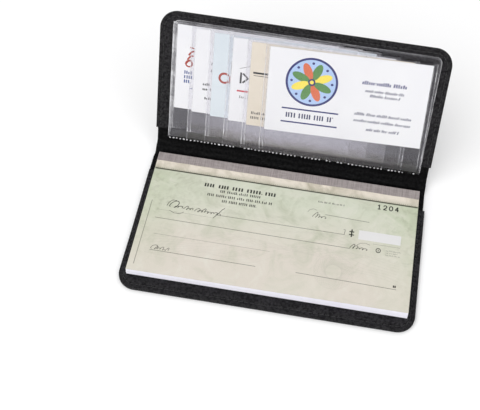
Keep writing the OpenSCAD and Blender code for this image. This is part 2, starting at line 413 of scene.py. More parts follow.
M_LEATHER = leather("leatherette_outer", srgb(23, 22, 27), srgb(31, 30, 36), 0.75, 0.6, 0.5, 0.25, worn=srgb(9, 9, 10), speckle=0.05)
M_INNER = leather("leatherette_inner", srgb(21, 20, 23), srgb(31, 29, 33), 1.15, 1.0, 0.54, 0.21, worn=srgb(14, 13, 15), speckle=0.36, calm=0.7)
M_LINING = leather("spine_lining", srgb(9, 9, 10), srgb(14, 14, 15), 0.5, 0.3, 0.6, 0.07, speckle=0.3)


def thread_material():
    m, nt, bsdf, _ = shader("thread_black")
    v = coords(nt)
    twist = noise(nt, v, 2600, 2.0)
    nt.links.new(mix(nt, twist, srgb(8, 8, 9), srgb(36, 36, 40)), bsdf.inputs["Base Color"])
    bsdf.inputs["Roughness"].default_value = 0.5
    bsdf.inputs["Specular IOR Level"].default_value = 0.4
    bsdf.inputs["Sheen Weight"].default_value = 0.15
    bump(nt, bsdf, twist, 0.6, 0.00012)
    return m


M_THREAD = thread_material()


def board_material():
    m, nt, bsdf, _ = shader("grey_board")
    v = coords(nt)
    pulp = noise(nt, v, 900, 4.0)
    fleck = noise(nt, v, 260, 2.0)
    col = mix(nt, pulp, srgb(150, 140, 122), srgb(176, 165, 144))
    col = mix(nt, ranged(nt, fleck, 0.6, 0.75), col, srgb(122, 112, 98))
    nt.links.new(col, bsdf.inputs["Base Color"])
    bsdf.inputs["Roughness"].default_value = 0.85
    bump(nt, bsdf, pulp, 0.4, 0.0001)
    return m


M_BOARD = board_material()


def metal_material():
    m, nt, bsdf, _ = shader("staple_wire")
    v = coords(nt)
    draw = noise(nt, coords(nt, (1, 30, 30)), 300, 2.0)
    nt.links.new(mix(nt, draw, srgb(168, 170, 174), srgb(205, 206, 210)), bsdf.inputs["Base Color"])
    bsdf.inputs["Metallic"].default_value = 1.0
    nt.links.new(ranged(nt, noise(nt, v, 800), 0.3, 0.7, 0.25, 0.42), bsdf.inputs["Roughness"])
    return m


M_WIRE = metal_material()


def tape_material():
    m, nt, bsdf, _ = shader("binding_tape_cloth")
    v = coords(nt)
    ribs = noise(nt, coords(nt, (1.0, 0.05, 0.05)), 2100, 1.0, 0.4)
    weft = noise(nt, coords(nt, (0.12, 1.0, 1.0)), 1700, 1.0, 0.5)
    cloud = noise(nt, v, 60, 2.0)
    col = mix(nt, ranged(nt, ribs, 0.32, 0.68), srgb(138, 130, 129), srgb(161, 153, 151))
    col = mix(nt, ranged(nt, weft, 0.45, 0.8, 0.0, 0.5), col, srgb(180, 172, 169))
    col = mix(nt, ranged(nt, cloud, 0.4, 0.7, 0.0, 0.25), col, srgb(140, 132, 133))
    nt.links.new(col, bsdf.inputs["Base Color"])
    bsdf.inputs["Roughness"].default_value = 0.72
    bsdf.inputs["Specular IOR Level"].default_value = 0.25
    bump(nt, bsdf, maths(nt, "ADD", ribs, maths(nt, "MULTIPLY", weft, 0.6)), 0.55, 0.00015)
    return m


M_TAPE = tape_material()


def check_paper(name, tint=1.0, ink=None, cover=0.0):
    """Safety paper: pale green at the top and towards the corners, cream below, softly marbled."""
    m, nt, bsdf, _ = shader(name)
    tc = nt.nodes.new("ShaderNodeTexCoord")
    sep = nt.nodes.new("ShaderNodeSeparateXYZ")
    nt.links.new(tc.outputs["Object"], sep.inputs[0])
    v = coords(nt)
    marble = noise(nt, v, 78, 5.0, 0.66, 0.8)
    cloud = noise(nt, v, 24, 2.0, 0.5, 0.6)
    fibre = noise(nt, v, 1500, 3.0)
    up = ranged(nt, sep.outputs["Y"], -0.012, 0.022)
    warp = maths(nt, "ADD", up, maths(nt, "MULTIPLY", maths(nt, "SUBTRACT", cloud, 0.5), 0.9), True)
    col = mix(nt, warp, srgb(214, 207, 196), srgb(205, 209, 191))
    side = ranged(nt, maths(nt, "ABSOLUTE", sep.outputs["X"]), 0.048, 0.074)
    edge = maths(nt, "MULTIPLY", side, ranged(nt, sep.outputs["Y"], -0.030, 0.020, 0.15, 1.0))
    col = mix(nt, maths(nt, "MULTIPLY", edge, 0.85), col, srgb(188, 196, 170))
    sponge = noise(nt, v, 270, 4.0, 0.62, 0.3)
    higher = ranged(nt, sep.outputs["Y"], -0.034, 0.016, 0.4, 1.0)
    col = mix(nt, maths(nt, "MULTIPLY", ranged(nt, marble, 0.5, 0.72, 0.0, 0.9), higher), col, srgb(183, 187, 166))
    patch = maths(nt, "MULTIPLY", ranged(nt, sponge, 0.5, 0.68, 0.0, 0.75), maths(nt, "ADD", edge, maths(nt, "MULTIPLY", ranged(nt, cloud, 0.42, 0.6), maths(nt, "MULTIPLY", up, 0.5)), True))
    col = mix(nt, patch, col, srgb(172, 177, 154))
    col = mix(nt, ranged(nt, marble, 0.46, 0.26, 0.0, 0.6), col, srgb(221, 219, 208))
    col = mix(nt, ranged(nt, cloud, 0.55, 0.75, 0.0, 0.4), col, srgb(220, 214, 204))
    n = nt.nodes.new("ShaderNodeMix")
    n.data_type = "RGBA"
    n.blend_type = "MULTIPLY"
    n.inputs[0].default_value = 1.0
    nt.links.new(col, n.inputs[6])
    nt.links.new(ranged(nt, fibre, 0.3, 0.7, 0.97 * tint, 1.0 * tint), n.inputs[7])
    col = n.outputs[2]
    if ink:
        col = mix(nt, cover, col, ink)
    nt.links.new(col, bsdf.inputs["Base Color"])
    bsdf.inputs["Roughness"].default_value = 0.62
    bsdf.inputs["Specular IOR Level"].default_value = 0.25
    bump(nt, bsdf, fibre, 0.15, 0.00008)
    return m


M_CHECK = check_paper("check_paper")
M_MARK = check_paper("check_watermark", 0.95)
M_MARK2 = check_paper("check_watermark_deep", 0.90)
M_RULE = check_paper("check_rule", 1.0, srgb(84, 84, 74), 0.85)
M_FAINT = check_paper("check_fine_rule", 1.0, srgb(110, 108, 98), 0.7)
M_INK = check_paper("check_ink", 1.0, srgb(20, 22, 20), 0.96)
M_BOX = check_paper("check_amount_box", 1.0, srgb(222, 221, 222), 0.92)
# painted shade of the perforation gap along the check's upper edge
M_TEAR_SHADE = check_paper("check_tear_line_shade", 1.0, srgb(60, 60, 50), 0.92)


def plain_paper(name, base_col, dark_col, rough=0.55, spec=0.3, mottle=30):
    m, nt, bsdf, _ = shader(name)
    v = coords(nt)
    fibre = noise(nt, v, 1300, 3.0)
    cloud = noise(nt, v, mottle, 3.0)
    col = mix(nt, ranged(nt, fibre, 0.3, 0.75, 0.0, 0.4), base_col, dark_col)
    col = mix(nt, ranged(nt, cloud, 0.45, 0.75, 0.0, 0.7), col, dark_col)
    nt.links.new(col, bsdf.inputs["Base Color"])
    nt.links.new(ranged(nt, cloud, 0.3, 0.7, rough - 0.05, rough + 0.05), bsdf.inputs["Roughness"])
    bsdf.inputs["Specular IOR Level"].default_value = spec
    bump(nt, bsdf, fibre, 0.12, 0.00006)
    return m


M_EDGES = plain_paper("page_edges", srgb(248, 247, 253), srgb(238, 236, 248), 0.8, 0.15)


def stub_material():
    m, nt, bsdf, _ = shader("stub_paper")
    tc = nt.nodes.new("ShaderNodeTexCoord")
    sep = nt.nodes.new("ShaderNodeSeparateXYZ")
    nt.links.new(tc.outputs["Object"], sep.inputs[0])
    v = coords(nt)
    fibre = noise(nt, v, 1300, 3.0)
    cloud = noise(nt, v, 85, 4.0, 0.62, 0.4)
    broad = noise(nt, v, 26, 2.0)
    col = mix(nt, ranged(nt, fibre, 0.3, 0.75, 0.0, 0.3), srgb(230, 221, 208), srgb(206, 198, 182))
    patch = maths(nt, "MULTIPLY", ranged(nt, cloud, 0.44, 0.66, 0.0, 0.85), ranged(nt, broad, 0.35, 0.62, 0.35, 1.0))
    col = mix(nt, patch, col, srgb(172, 165, 145))
    low = ranged(nt, sep.outputs["Y"], 0.0330, 0.0362, 0.5, 0.0)
    col = mix(nt, low, col, srgb(172, 172, 150))
    nt.links.new(col, bsdf.inputs["Base Color"])
    bsdf.inputs["Roughness"].default_value = 0.65
    bsdf.inputs["Specular IOR Level"].default_value = 0.25
    bump(nt, bsdf, fibre, 0.12, 0.00006)
    return m


M_STUB = stub_material()
# painted shade: colour of the perforation holes, standing for the shaded paper below them
M_STUB_HOLE_SHADE = plain_paper("stub_hole_shade", srgb(108, 104, 88), srgb(84, 80, 68), 0.65, 0.25)
M_WHITE = plain_paper("card_white", srgb(239, 239, 241), srgb(231, 231, 235), 0.5, 0.3)
M_BLUE = plain_paper("card_pale_blue", srgb(222, 230, 235), srgb(213, 222, 228), 0.5, 0.3)
M_BEIGE = plain_paper("card_beige", srgb(228, 219, 205), srgb(219, 209, 193), 0.55, 0.3)


def ink(name, col, rough=0.42):
    m, nt, bsdf, _ = shader(name)
    v = coords(nt)
    n = noise(nt, v, 1700, 3.0)
    pale = tuple(min(1.0, c * 1.25 + 0.02) for c in col[:3]) + (1.0,)
    nt.links.new(mix(nt, ranged(nt, n, 0.45, 0.85, 0.0, 0.55), col, pale), bsdf.inputs["Base Color"])
    bsdf.inputs["Roughness"].default_value = rough
    bsdf.inputs["Specular IOR Level"].default_value = 0.4
    return m


I_NAVY = ink("ink_navy", srgb(44, 46, 112))
I_NAVY2 = ink("ink_navy_grey", srgb(46, 48, 92))
I_SKY = ink("ink_sky", srgb(176, 200, 236))
I_YELLOW = ink("ink_yellow", srgb(246, 224, 92))
I_GREEN = ink("ink_green", srgb(92, 140, 78))
I_ORANGE = ink("ink_orange", srgb(216, 112, 74))
I_RED = ink("ink_brick", srgb(164, 50, 26))
I_ROSE = ink("ink_rose", srgb(196, 30, 52))
I_BLUE = ink("ink_blue", srgb(48, 74, 140))
I_BLACK = ink("ink_black", srgb(20, 20, 22))
I_GREY = ink("ink_grey", srgb(112, 108, 106))


def film_material(name, reflect, milk, rough, tint=(0.997, 0.997, 0.998), wavy=0.25, ridge_and_painted_highlight=0.0, slack=False, even=0.22):
    """Clear vinyl: the light goes straight through, less what the surface reflects and a little milkiness."""
    m = bpy.data.materials.new(name)
    m.use_nodes = True
    nt = m.node_tree
    nt.nodes.clear()
    out = nt.nodes.new("ShaderNodeOutputMaterial")
    clear = nt.nodes.new("ShaderNodeBsdfTransparent")
    clear.inputs["Color"].default_value = (*tint, 1)
    gloss_and_highlight = nt.nodes.new("ShaderNodeBsdfPrincipled")
    gloss_and_highlight.inputs["Base Color"].default_value = (0.84, 0.82, 0.90, 1)
    gloss_and_highlight.inputs["Roughness"].default_value = rough
    gloss_and_highlight.inputs["Metallic"].default_value = 1.0
    haze = nt.nodes.new("ShaderNodeBsdfDiffuse")
    v = coords(nt)
    ripple = noise(nt, v, 70, 2.0, 0.5, 0.4)
    fog = noise(nt, v, 120, 3.0)
    nt.links.new(mix(nt, fog, (0.80, 0.80, 0.83, 1), (0.92, 0.92, 0.94, 1)), haze.inputs["Color"])
    b = nt.nodes.new("ShaderNodeBump")
    b.inputs["Strength"].default_value = wavy
    b.inputs["Distance"].default_value = 0.0012
    nt.links.new(ripple, b.inputs["Height"])
    nt.links.new(b.outputs["Normal"], gloss_and_highlight.inputs["Normal"])
    fres = nt.nodes.new("ShaderNodeFresnel")
    fres.inputs["IOR"].default_value = 1.5
    geo = nt.nodes.new("ShaderNodeNewGeometry")
    front = maths(nt, "SUBTRACT", 1.0, geo.outputs["Backfacing"])
    shine = maths(nt, "MULTIPLY", maths(nt, "MULTIPLY", fres.outputs[0], reflect), front, True)
    if slack:
        shine = maths(nt, "MULTIPLY", shine, ranged(nt, attribute(nt, "flat"), 0.0, 1.0, 0.30, 1.0))
    mixed = nt.nodes.new("ShaderNodeMixShader")
    haze_and_painted_highlight = maths(nt, "MULTIPLY", front, ranged(nt, fog, 0.3, 0.7, milk * 0.8, milk * 1.2), True)
    # painted highlight: the ridge attribute whitens the film with diffuse haze along weld ridges and bands
    if ridge_and_painted_highlight:
        broken = ranged(nt, noise(nt, v, 190, 2.0, 0.5, 0.3), 0.36, 0.62, even, 1.0)
        highlight_streak = maths(nt, "MULTIPLY", maths(nt, "MULTIPLY", attribute(nt, "ridge_and_painted_highlight"), broken), ridge_and_painted_highlight)
        haze_and_painted_highlight = maths(nt, "ADD", haze_and_painted_highlight, highlight_streak, True)
    nt.links.new(haze_and_painted_highlight, mixed.inputs[0])
    nt.links.new(clear.outputs[0], mixed.inputs[1])
    nt.links.new(haze.outputs[0], mixed.inputs[2])
    last = nt.nodes.new("ShaderNodeMixShader")
    nt.links.new(shine, last.inputs[0])
    nt.links.new(mixed.outputs[0], last.inputs[1])
    nt.links.new(gloss_and_highlight.outputs[0], last.inputs[2])
    nt.links.new(last.outputs[0], out.inputs["Surface"])
    return m


M_FILMS = {k: film_material(f"clear_vinyl_{k}", r, 0.004, 0.10, ridge_and_painted_highlight=0.85, slack=True)
           for k, r in ((1, 1.6), (2, 2.15), (3, 2.3), (4, 2.3), (5, 1.45), (6, 1.2))}
M_BACKING = film_material("clear_vinyl_backing", 1.15, 0.004, 0.12)
M_BAR = film_material("clear_vinyl_seam", 0.3, 0.003, 0.2)
M_RIM = film_material("welded_rim", 1.1, 0.02, 0.16, wavy=0.4, ridge_and_painted_highlight=0.8, even=0.7)
M_DASH = film_material("weld_dashes", 2.0, 0.93, 0.25, wavy=0.4)


def tab_material():
    m, nt, bsdf, _ = shader("smoky_tab")
    v = coords(nt)
    n = noise(nt, v, 500, 3.0)
    nt.links.new(mix(nt, n, srgb(34, 34, 36), srgb(46, 46, 49)), bsdf.inputs["Base Color"])
    bsdf.inputs["Roughness"].default_value = 0.3
    bump(nt, bsdf, n, 0.2, 0.0001)
    return m


M_TAB = tab_material()

for node, mat in (("base_board", M_BOARD), ("lid_board", M_BOARD), ("pad_backer", M_BOARD), ("pad_staples", M_WIRE), ("insert_tab", M_TAB)):
    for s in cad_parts[node].material_slots:
        s.material = mat

# ------------------------------------------------------------------ cover skins

GROOVE = 2.5
OFFS = [0, 0.03, 0.11, 0.24, 0.42, 0.65, 0.95, 1.35, 1.75, 2.05, 2.25, 2.42, 2.58, 2.75, 2.95, 3.3, 3.9, 4.7, 5.8, 7.2]


def groove(o, depth):
    return depth * np.exp(-((o - GROOVE) / 0.42) ** 2) + 0.35 * depth * np.exp(-((o - GROOVE) / 1.1) ** 2)


slow_a = wave(3, 9, 0.03, 0.11)
slow_b = wave(7, 9, 0.03, 0.12)
slow_c = wave(11, 12, 0.10, 0.35)


def neck(row, end):
    """Half width: a little narrower past the row where the pocket ends."""
    return HALF_W - NECK * smooth((row - (end - 0.6)) / 1.6)


def rows_of(edge, parts):
    rows = list(edge)
    for stop, step in parts:
        n = max(1, int(round((stop - rows[-1]) / step)))
        rows += list(np.linspace(rows[-1], stop, n + 1)[1:])
    return np.array(rows)


MID = S1 + SPINE_W / 2      # the two skins meet in the middle of the spine

# lower skin: base and the lower half of the spine


# painted shade: how much the colour darkens along the stitching groove
def groove_shade(side, o, x, r):
    return 0.9 * np.exp(-((o - GROOVE) / 0.40) ** 2)


def low_base(o, x, r):
    z = 0.62 * (1 - edge_curve(o, 0.8)) + groove(o, 0.15) * smooth((87.6 - r) / 1.0)
    return z + 0.05 * (1 + slow_a(x, r)) * smooth((o - 3.5) / 4) - HZ


def high_base(o, x, r):
    t = 1.35 - 0.4 * smooth((r - 85.5) / 3.5)
    return 0.62 + (t - 0.62) * edge_curve(o, 0.7) + 0.03 * slow_c(x, r) * smooth((o - 1) / 2) * smooth((r - 79) / 2) - HZ


skin_low = panel(
    "cover_skin_lower", rows_of(OFFS, [(CORNER, 0.7), (78, 2.1), (82, 0.5), (S1 - 1, 0.8), (MID, 0.35)]), OFFS, 70,
    lambda r: neck(r, POCKET_END), CORNER, low_base, high_base, lambda x, r, h: fold(x, r, h), [M_LEATHER, M_LINING],
    region=lambda side, r, o: np.where((side == 1) & (r > 70), 1, 0), cap=True, attrs={"groove_shade_and_band": groove_shade},
    half_left=lambda r: HALF_W - 0.2 * smooth((r - 12) / 25) - (NECK - 0.2) * smooth((r - (S1 - 1)) / 5.0))

# upper skin: lid and the upper half of the spine; the rows count from the lid's free edge

EMBOSS = []      # polylines on the lid's outer face, (x, distance from the free edge), line width


def arc(cx, cy, r, a0, a1, n=18, squash=1.0):
    t = np.radians(np.linspace(a0, a1, n))
    return np.stack([cx + r * np.cos(t), cy + squash * r * np.sin(t)], axis=1)


def spiral(cx, cy, r0, r1, a0, a1, n=40):
    t = np.linspace(0, 1, n)
    a = np.radians(a0 + (a1 - a0) * t)
    r = r0 + (r1 - r0) * t
    return np.stack([cx + r * np.cos(a), cy + r * np.sin(a)], axis=1)


for sgn in (-1, 1):
    def mir(p):
        p = np.array(p, float)
        p[:, 0] *= sgn
        return p
    EMBOSS.append((mir([(76.5, 22.6), (16.5, 22.6), (11.5, 23.9), (7.5, 25.7), (3.5, 28.0), (0, 29.7)]), 0.34))
    EMBOSS.append((mir([(65.5, 14.2), (20.0, 14.2)]), 0.30))
    EMBOSS.append((mir(spiral(14.2, 15.6, 0.4, 2.9, 60, 540)), 0.30))
    EMBOSS.append((mir(spiral(6.4, 17.4, 0.5, 3.4, 120, -330)), 0.32))
    EMBOSS.append((mir(arc(10.4, 19.6, 4.3, 215, 330)), 0.30))
    EMBOSS.append((mir([(20.0, 14.2), (18.4, 13.7), (16.8, 12.7)]), 0.28))
    EMBOSS.append((mir([(0, 24.6), (1.9, 21.8), (2.4, 18.6), (1.4, 15.0), (0, 11.2)]), 0.34))
    EMBOSS.append((mir([(1.6, 13.4), (4.8, 11.6), (8.6, 11.9), (11.0, 12.9)]), 0.28))
    for k in range(8):
        a = math.radians(45 * k + 22.5)
        petal = [(72.0 + 0.7 * math.cos(a), 14.9 + 0.7 * math.sin(a)), (72.0 + 2.5 * math.cos(a), 14.9 + 2.5 * math.sin(a))]
        EMBOSS.append((mir(petal), 0.30))
    EMBOSS.append((mir(arc(72.0, 14.9, 0.55, 0, 360, 10)), 0.25))


def emboss_at(x, r, bead=0.0):
    """0 where the face is plain, up to 1 in the middle of a pressed line."""
    out = np.zeros(x.shape)
    near = (r > 9) & (r < 31)
    px, pr = x[near], r[near]
    best = np.zeros(px.shape)
    for line, width in EMBOSS:
        x0, y0 = line.min(0) - 1.6
        x1, y1 = line.max(0) + 1.6
        sel = np.flatnonzero((px > x0) & (px < x1) & (pr > y0) & (pr < y1))
        if not len(sel):
            continue
        qx, qy = px[sel], pr[sel]
        d = np.full(qx.shape, 9.0)
        for (ax, ay), (bx, by) in zip(line[:-1], line[1:]):
            ux, uy = bx - ax, by - ay
            ll = ux * ux + uy * uy + 1e-12
            t = np.clip(((qx - ax) * ux + (qy - ay) * uy) / ll, 0, 1)
            d = np.minimum(d, np.hypot(qx - ax - t * ux, qy - ay - t * uy))
        beads = 1 - bead * (0.5 - 0.5 * np.cos(math.tau * (qx + 0.6 * qy) / 1.7)) if width > 0.32 else 1.0
        best[sel] = np.maximum(best[sel], beads * np.exp(-(d / (width * 1.15)) ** 2))
    out[near] = best
    return out


def band_at(r):
    """The pressed band below the upper line, slightly lower than the rest of the face."""
    return smooth((22.4 - r) / 0.9) * smooth((r - 5.2) / 0.9)


def low_lid(o, x, r):
    z = 0.62 * (1 - edge_curve(o, 0.8)) + groove(o, 0.15) * smooth((77.6 - r) / 1.0)
    z = z + 0.05 * slow_b(x, r) * smooth((o - 3.5) / 4)
    return z + 0.26 * emboss_at(x, r, 0.7) + 0.05 * band_at(r) * smooth((o - 3.5) / 1.0) - HZ


def high_lid(o, x, r):
    t = 1.35 - 0.4 * smooth((r - 75.5) / 3.0)
    return 0.62 + (t - 0.62) * edge_curve(o, 0.7) + 0.03 * slow_c(x, r) * smooth((o - 1) / 2) * smooth((r - 72) / 2) - HZ


# painted shade along the stitching groove; on the outer face the band below the upper line is also darker
def lid_groove_shade_and_band(side, o, x, r):
    seam_shade = groove_shade(side, o, x, r)
    if side:
        return seam_shade
    return np.clip(seam_shade + 0.3 * band_at(r) * smooth((o - 3.5) / 1.0), 0, 1)


# painted highlight and gloss along the embossed lines of the outer face
def lid_gloss_and_painted_highlight(side, o, x, r):
    if side:
        return np.zeros(x.shape)
    return emboss_at(x, r, 0.9)


skin_up = panel(
    "cover_skin_upper", rows_of(OFFS, [(CORNER, 0.45), (30, 0.42), (71, 2.1), (74.5, 0.5), (LID_D - 1, 0.8), (S3 - MID, 0.35)]), OFFS, 285,
    lambda r: neck(r, LID_POCKET), CORNER, low_lid, high_lid, lambda x, r, h: fold(x, S3 - r, h), [M_LEATHER, M_LINING],
    region=lambda side, r, o: np.where((side == 1) & (r > 64), 1, 0), cap=True,
    attrs={"groove_shade_and_band": lid_groove_shade_and_band, "gloss_and_highlight": lid_gloss_and_painted_highlight})

# pocket panels


def low_pocket(o, x, r):
    return 1.76 - (1.76 - 1.37) * edge_curve(o, 0.5) + 0.49 * smooth((o - 4.3) / 0.8) - HZ


def hem(r, end):
    """The turned hem along a pocket's open edge, with its own line of pressing."""
    d = end - r
    return 0.10 * smooth((3.4 - d) / 0.8) * smooth(d / 0.4) - 0.07 * np.exp(-((d - 3.6) / 0.35) ** 2)


def high_pocket(o, x, r, end=POCKET_END, rough=0.03):
    z = 1.76 + (2.2 - 1.76) * edge_curve(o, 0.55) - groove(o, 0.15) * smooth((end - 2.2 - r) / 1.0)
    return z + rough * slow_c(x, r) * smooth((o - 0.6) / 1.0) * smooth((6 - o) / 2) + hem(r, end) * smooth((o - 3) / 1.5) * 0.0 - HZ


pocket_base = panel(
    "base_pocket_panel", rows_of(OFFS, [(CORNER, 0.7), (POCKET_END - 5, 2.2), (POCKET_END - 1.2, 0.6), (POCKET_END - 0.1, 0.2), (POCKET_END, 0.1)]), OFFS, 60,
    lambda r: np.full(np.shape(r), HALF_W), CORNER, low_pocket, high_pocket, lambda x, r, h: fold(x, r, h), [M_INNER], closed_end=True,
    attrs={"groove_shade_and_band": groove_shade}, half_left=lambda r: HALF_W - 0.2 * smooth((r - 12) / 25))

pocket_lid = panel(
    "lid_pocket_panel", rows_of(OFFS, [(CORNER, 0.7), (LID_POCKET - 5, 2.2), (LID_POCKET - 1.2, 0.6), (LID_POCKET - 0.1, 0.2), (LID_POCKET, 0.1)]), OFFS, 60,
    lambda r: np.full(np.shape(r), HALF_W), CORNER, low_pocket, lambda o, x, r: high_pocket(o, x + 31, r, LID_POCKET), lambda x, r, h: fold(x, S3 - r, h), [M_INNER],
    closed_end=True, attrs={"groove_shade_and_band": groove_shade})

# stitches: separate lock stitches in the grooves


def stitch_row(depth_end, place_row, z_mid, up, pitch=3.1, length=2.72, seed=1):
    """Stitches along the U-shaped line at GROOVE from the outline, from depth_end round to depth_end."""
    rng = random.Random(seed)
    rr = CORNER - GROOVE
    xw = HALF_W - GROOVE
    side = depth_end - CORNER
    arc_len = math.pi / 2 * rr
    front = 2 * (xw - rr)
    total = 2 * side + 2 * arc_len + front

    def at(p):
        if p < side:
            return -xw, depth_end - p, 0.0, -1.0
        p -= side
        if p < arc_len:
            a = p / rr
            return -xw + rr - rr * math.cos(a), CORNER - rr * math.sin(a), math.sin(a), -math.cos(a)
        p -= arc_len
        if p < front:
            return -xw + rr + p, GROOVE, 1.0, 0.0
        p -= front
        if p < arc_len:
            a = p / rr
            return xw - rr + rr * math.sin(a), CORNER - rr * math.cos(a), math.cos(a), math.sin(a)
        p -= arc_len
        return xw, CORNER + p, 0.0, 1.0

    parts = []
    n = int(total / pitch)
    gap = total / n
    for i in range(n):
        cx, cr, tx, tr = at((i + 0.5) * gap)
        lean = math.radians(5 + rng.uniform(-1.5, 1.5))
        tx, tr = tx * math.cos(lean) - tr * math.sin(lean), tx * math.sin(lean) + tr * math.cos(lean)
        nx, nr = -tr, tx
        rings = []
        for k in range(9):
            u = -1 + k / 4
            grow = math.sqrt(max(0.02, 1 - abs(u) ** 5))
            zc = z_mid + up * 0.09 * (1 - u * u) - up * 0.05
            ring = []
            for q in range(8):
                a = math.tau * q / 8
                w = 0.2 * grow * math.cos(a)
                z = zc + 0.105 * grow * math.sin(a)
                ring.append((cx + tx * u * length / 2 + nx * w, cr + tr * u * length / 2 + nr * w, z))
            rings.append(ring)
        v, f = sweep(rings)
        parts.append((v, f, 0))
    v, f, idx = join_parts(parts)
    return place_row(v[:, 0], v[:, 1], v[:, 2]), f


def threads(name, rows):
    parts = []
    for args in rows:
        v, f = stitch_row(**args)
        parts.append((v, f, 0))
    v, f, idx = join_parts(parts)
    return new_object(name, v, f, [M_THREAD], idx, sharp=80)


thread_base = threads("base_threads", [
    dict(depth_end=78.4, place_row=lambda x, r, z: fold(x, r, z), z_mid=Z_FACE - HZ - 0.12, up=1, seed=5),
    dict(depth_end=87.2, place_row=lambda x, r, z: fold(x, r, z), z_mid=-HZ + 0.175, up=-1, seed=6)])
thread_lid = threads("lid_threads", [
    dict(depth_end=71.2, place_row=lambda x, r, z: fold(x, S3 - r, z), z_mid=Z_FACE - HZ - 0.12, up=1, seed=8),
    dict(depth_end=76.9, place_row=lambda x, r, z: fold(x, S3 - r, z), z_mid=-HZ + 0.175, up=-1, seed=9)])

# ------------------------------------------------------------------ check pad


def front_lean(x):
    """How far the upper leaves stand back from the pad's front edge."""
    return 0.3 + 0.55 * (x + PAD_X) / (2 * PAD_X)


def leaf_ring(x0, x1, y0, y1, z, inset, wob, amp=0.03, n=26):
    """A rectangle as a ring of points, with edges that waver a little."""
    t = np.linspace(0, 1, n, endpoint=False)
    xs = np.concatenate([x0 + (x1 - x0) * t, np.full(n, x1), x1 - (x1 - x0) * t, np.full(n, x0)])
    ys = np.concatenate([np.full(n, y0), y0 + (y1 - y0) * t, np.full(n, y1), y1 - (y1 - y0) * t])
    cx, cy = (x0 + x1) / 2, (y0 + y1) / 2
    fx = 1 - 2 * (inset + amp * wob(xs, ys + 9 * z)) / (x1 - x0)
    fy = 1 - 2 * (inset + amp * wob(xs + 5, ys - 7 * z)) / (y1 - y0)
    px, py = cx + (xs - cx) * fx, cy + (ys - cy) * fy
    if y0 < 20:
        py = py + front_lean(px) * max(0.0, (z - 2.25) / (PAD_TOP - 2.25)) * (y1 - py) / (y1 - y0)
    return base(px, py, np.full(xs.shape, z))


def leaves(x0, x1, y0, y1, z0, z1, n, seed):
    rng = np.random.default_rng(seed)
    wob = wave(seed, 8, 0.05, 0.4)
    rings = []
    t = (z1 - z0) / n
    for i in range(n):
        a = z0 + i * t
        dx, dy = rng.normal(0, 0.045, 2)
        box = (x0 + dx + 0.05, x1 + dx - 0.05, y0 + max(dy, -0.03) + 0.03, y1 - 0.02)
        rings.append(leaf_ring(*box, a + 0.02 * t, 0.07, wob))
        rings.append(leaf_ring(*box, a + 0.14 * t, 0.0, wob))
        rings.append(leaf_ring(*box, a + 0.86 * t, 0.0, wob))
        rings.append(leaf_ring(*box, a + 0.98 * t, 0.07, wob))
    return sweep(rings)


va, fa = leaves(-PAD_X, PAD_X, PAD_Y0, PAD_Y1, 2.25, PAD_TOP - 0.22, 21, 21)
vb, fb = leaves(-PAD_X, PAD_X, POCKET_END + 0.4, PAD_Y1, 1.82, 2.25, 2, 22)
v, f, idx = join_parts([(va, fa, 0), (vb, fb, 0)])
pad = new_object("check_leaves", v, f, [M_EDGES], idx, sharp=30)

# ---- flat printed sheets: the print is cut into the paper's own top face


def rect(x0, y0, x1, y1):
    return [(x0, y0), (x1, y0), (x1, y1), (x0, y1)]


def bar(ax, ay, bx, by, w):
    dx, dy = bx - ax, by - ay
    n = math.hypot(dx, dy) or 1.0
    ox, oy = -dy / n * w / 2, dx / n * w / 2
    return [(ax - ox, ay - oy), (bx - ox, by - oy), (bx + ox, by + oy), (ax + ox, ay + oy)]


def disc(cx, cy, r, n=32, ry=None, a0=0.0):
    ry = r if ry is None else ry
    return [(cx + r * math.cos(a0 + math.tau * i / n), cy + ry * math.sin(a0 + math.tau * i / n)) for i in range(n)]


def line(points, w, closed=False):
    """A drawn line of even width, as one polygon per stretch."""
    pts = [tuple(p) for p in points]
    if closed:
        pts = pts + [pts[0]]
    out = []
    for (ax, ay), (bx, by) in zip(pts[:-1], pts[1:]):
        dx, dy = bx - ax, by - ay
        n = math.hypot(dx, dy)
        if n < 1e-6:
            continue
        e = w * 0.18
        out.append(bar(ax - dx / n * e, ay - dy / n * e, bx + dx / n * e, by + dy / n * e, w))
    return out


def ribbon(points, w):
    """A smooth band along a curve, as a single polygon."""
    p = np.asarray(points, float)
    t = np.gradient(p, axis=0)
    t /= np.linalg.norm(t, axis=1)[:, None] + 1e-9
    n = np.stack([-t[:, 1], t[:, 0]], axis=1) * w / 2
    a, b = p - n, (p + n)[::-1]
    return [tuple(q) for q in np.concatenate([a, b])]


def ticks(x0, x1, y, h, seed, slant=0.0, weight=0.26, pitch=0.46, words=(2, 7), tall=0.3):
    """A line of greeked print: words made of plain upright ticks, no letters."""
    rng = random.Random(seed)
    out, x = [], x0
    p = h * pitch
    while x < x1 - p:
        for _ in range(rng.randint(*words)):
            if x > x1 - p * 0.6:
                break
            top = h if rng.random() < tall else h * 0.7
            low = 0.0
            out.append([(x + slant * low, y + low), (x + h * weight + slant * low, y + low),
                        (x + h * weight + slant * top, y + top), (x + slant * top, y + top)])
            if rng.random() < 0.4 and weight < 0.45:
                m = top * rng.choice((0.06, 0.45, 0.84))
                k = x + h * weight * 1.5 + slant * m
                out.append(rect(k, y + m, k + p * 0.45, y + m + h * 0.16))
            x += p * rng.uniform(0.85, 1.15)
        x += p * (0.85 if weight < 0.36 else 1.15)
    return out


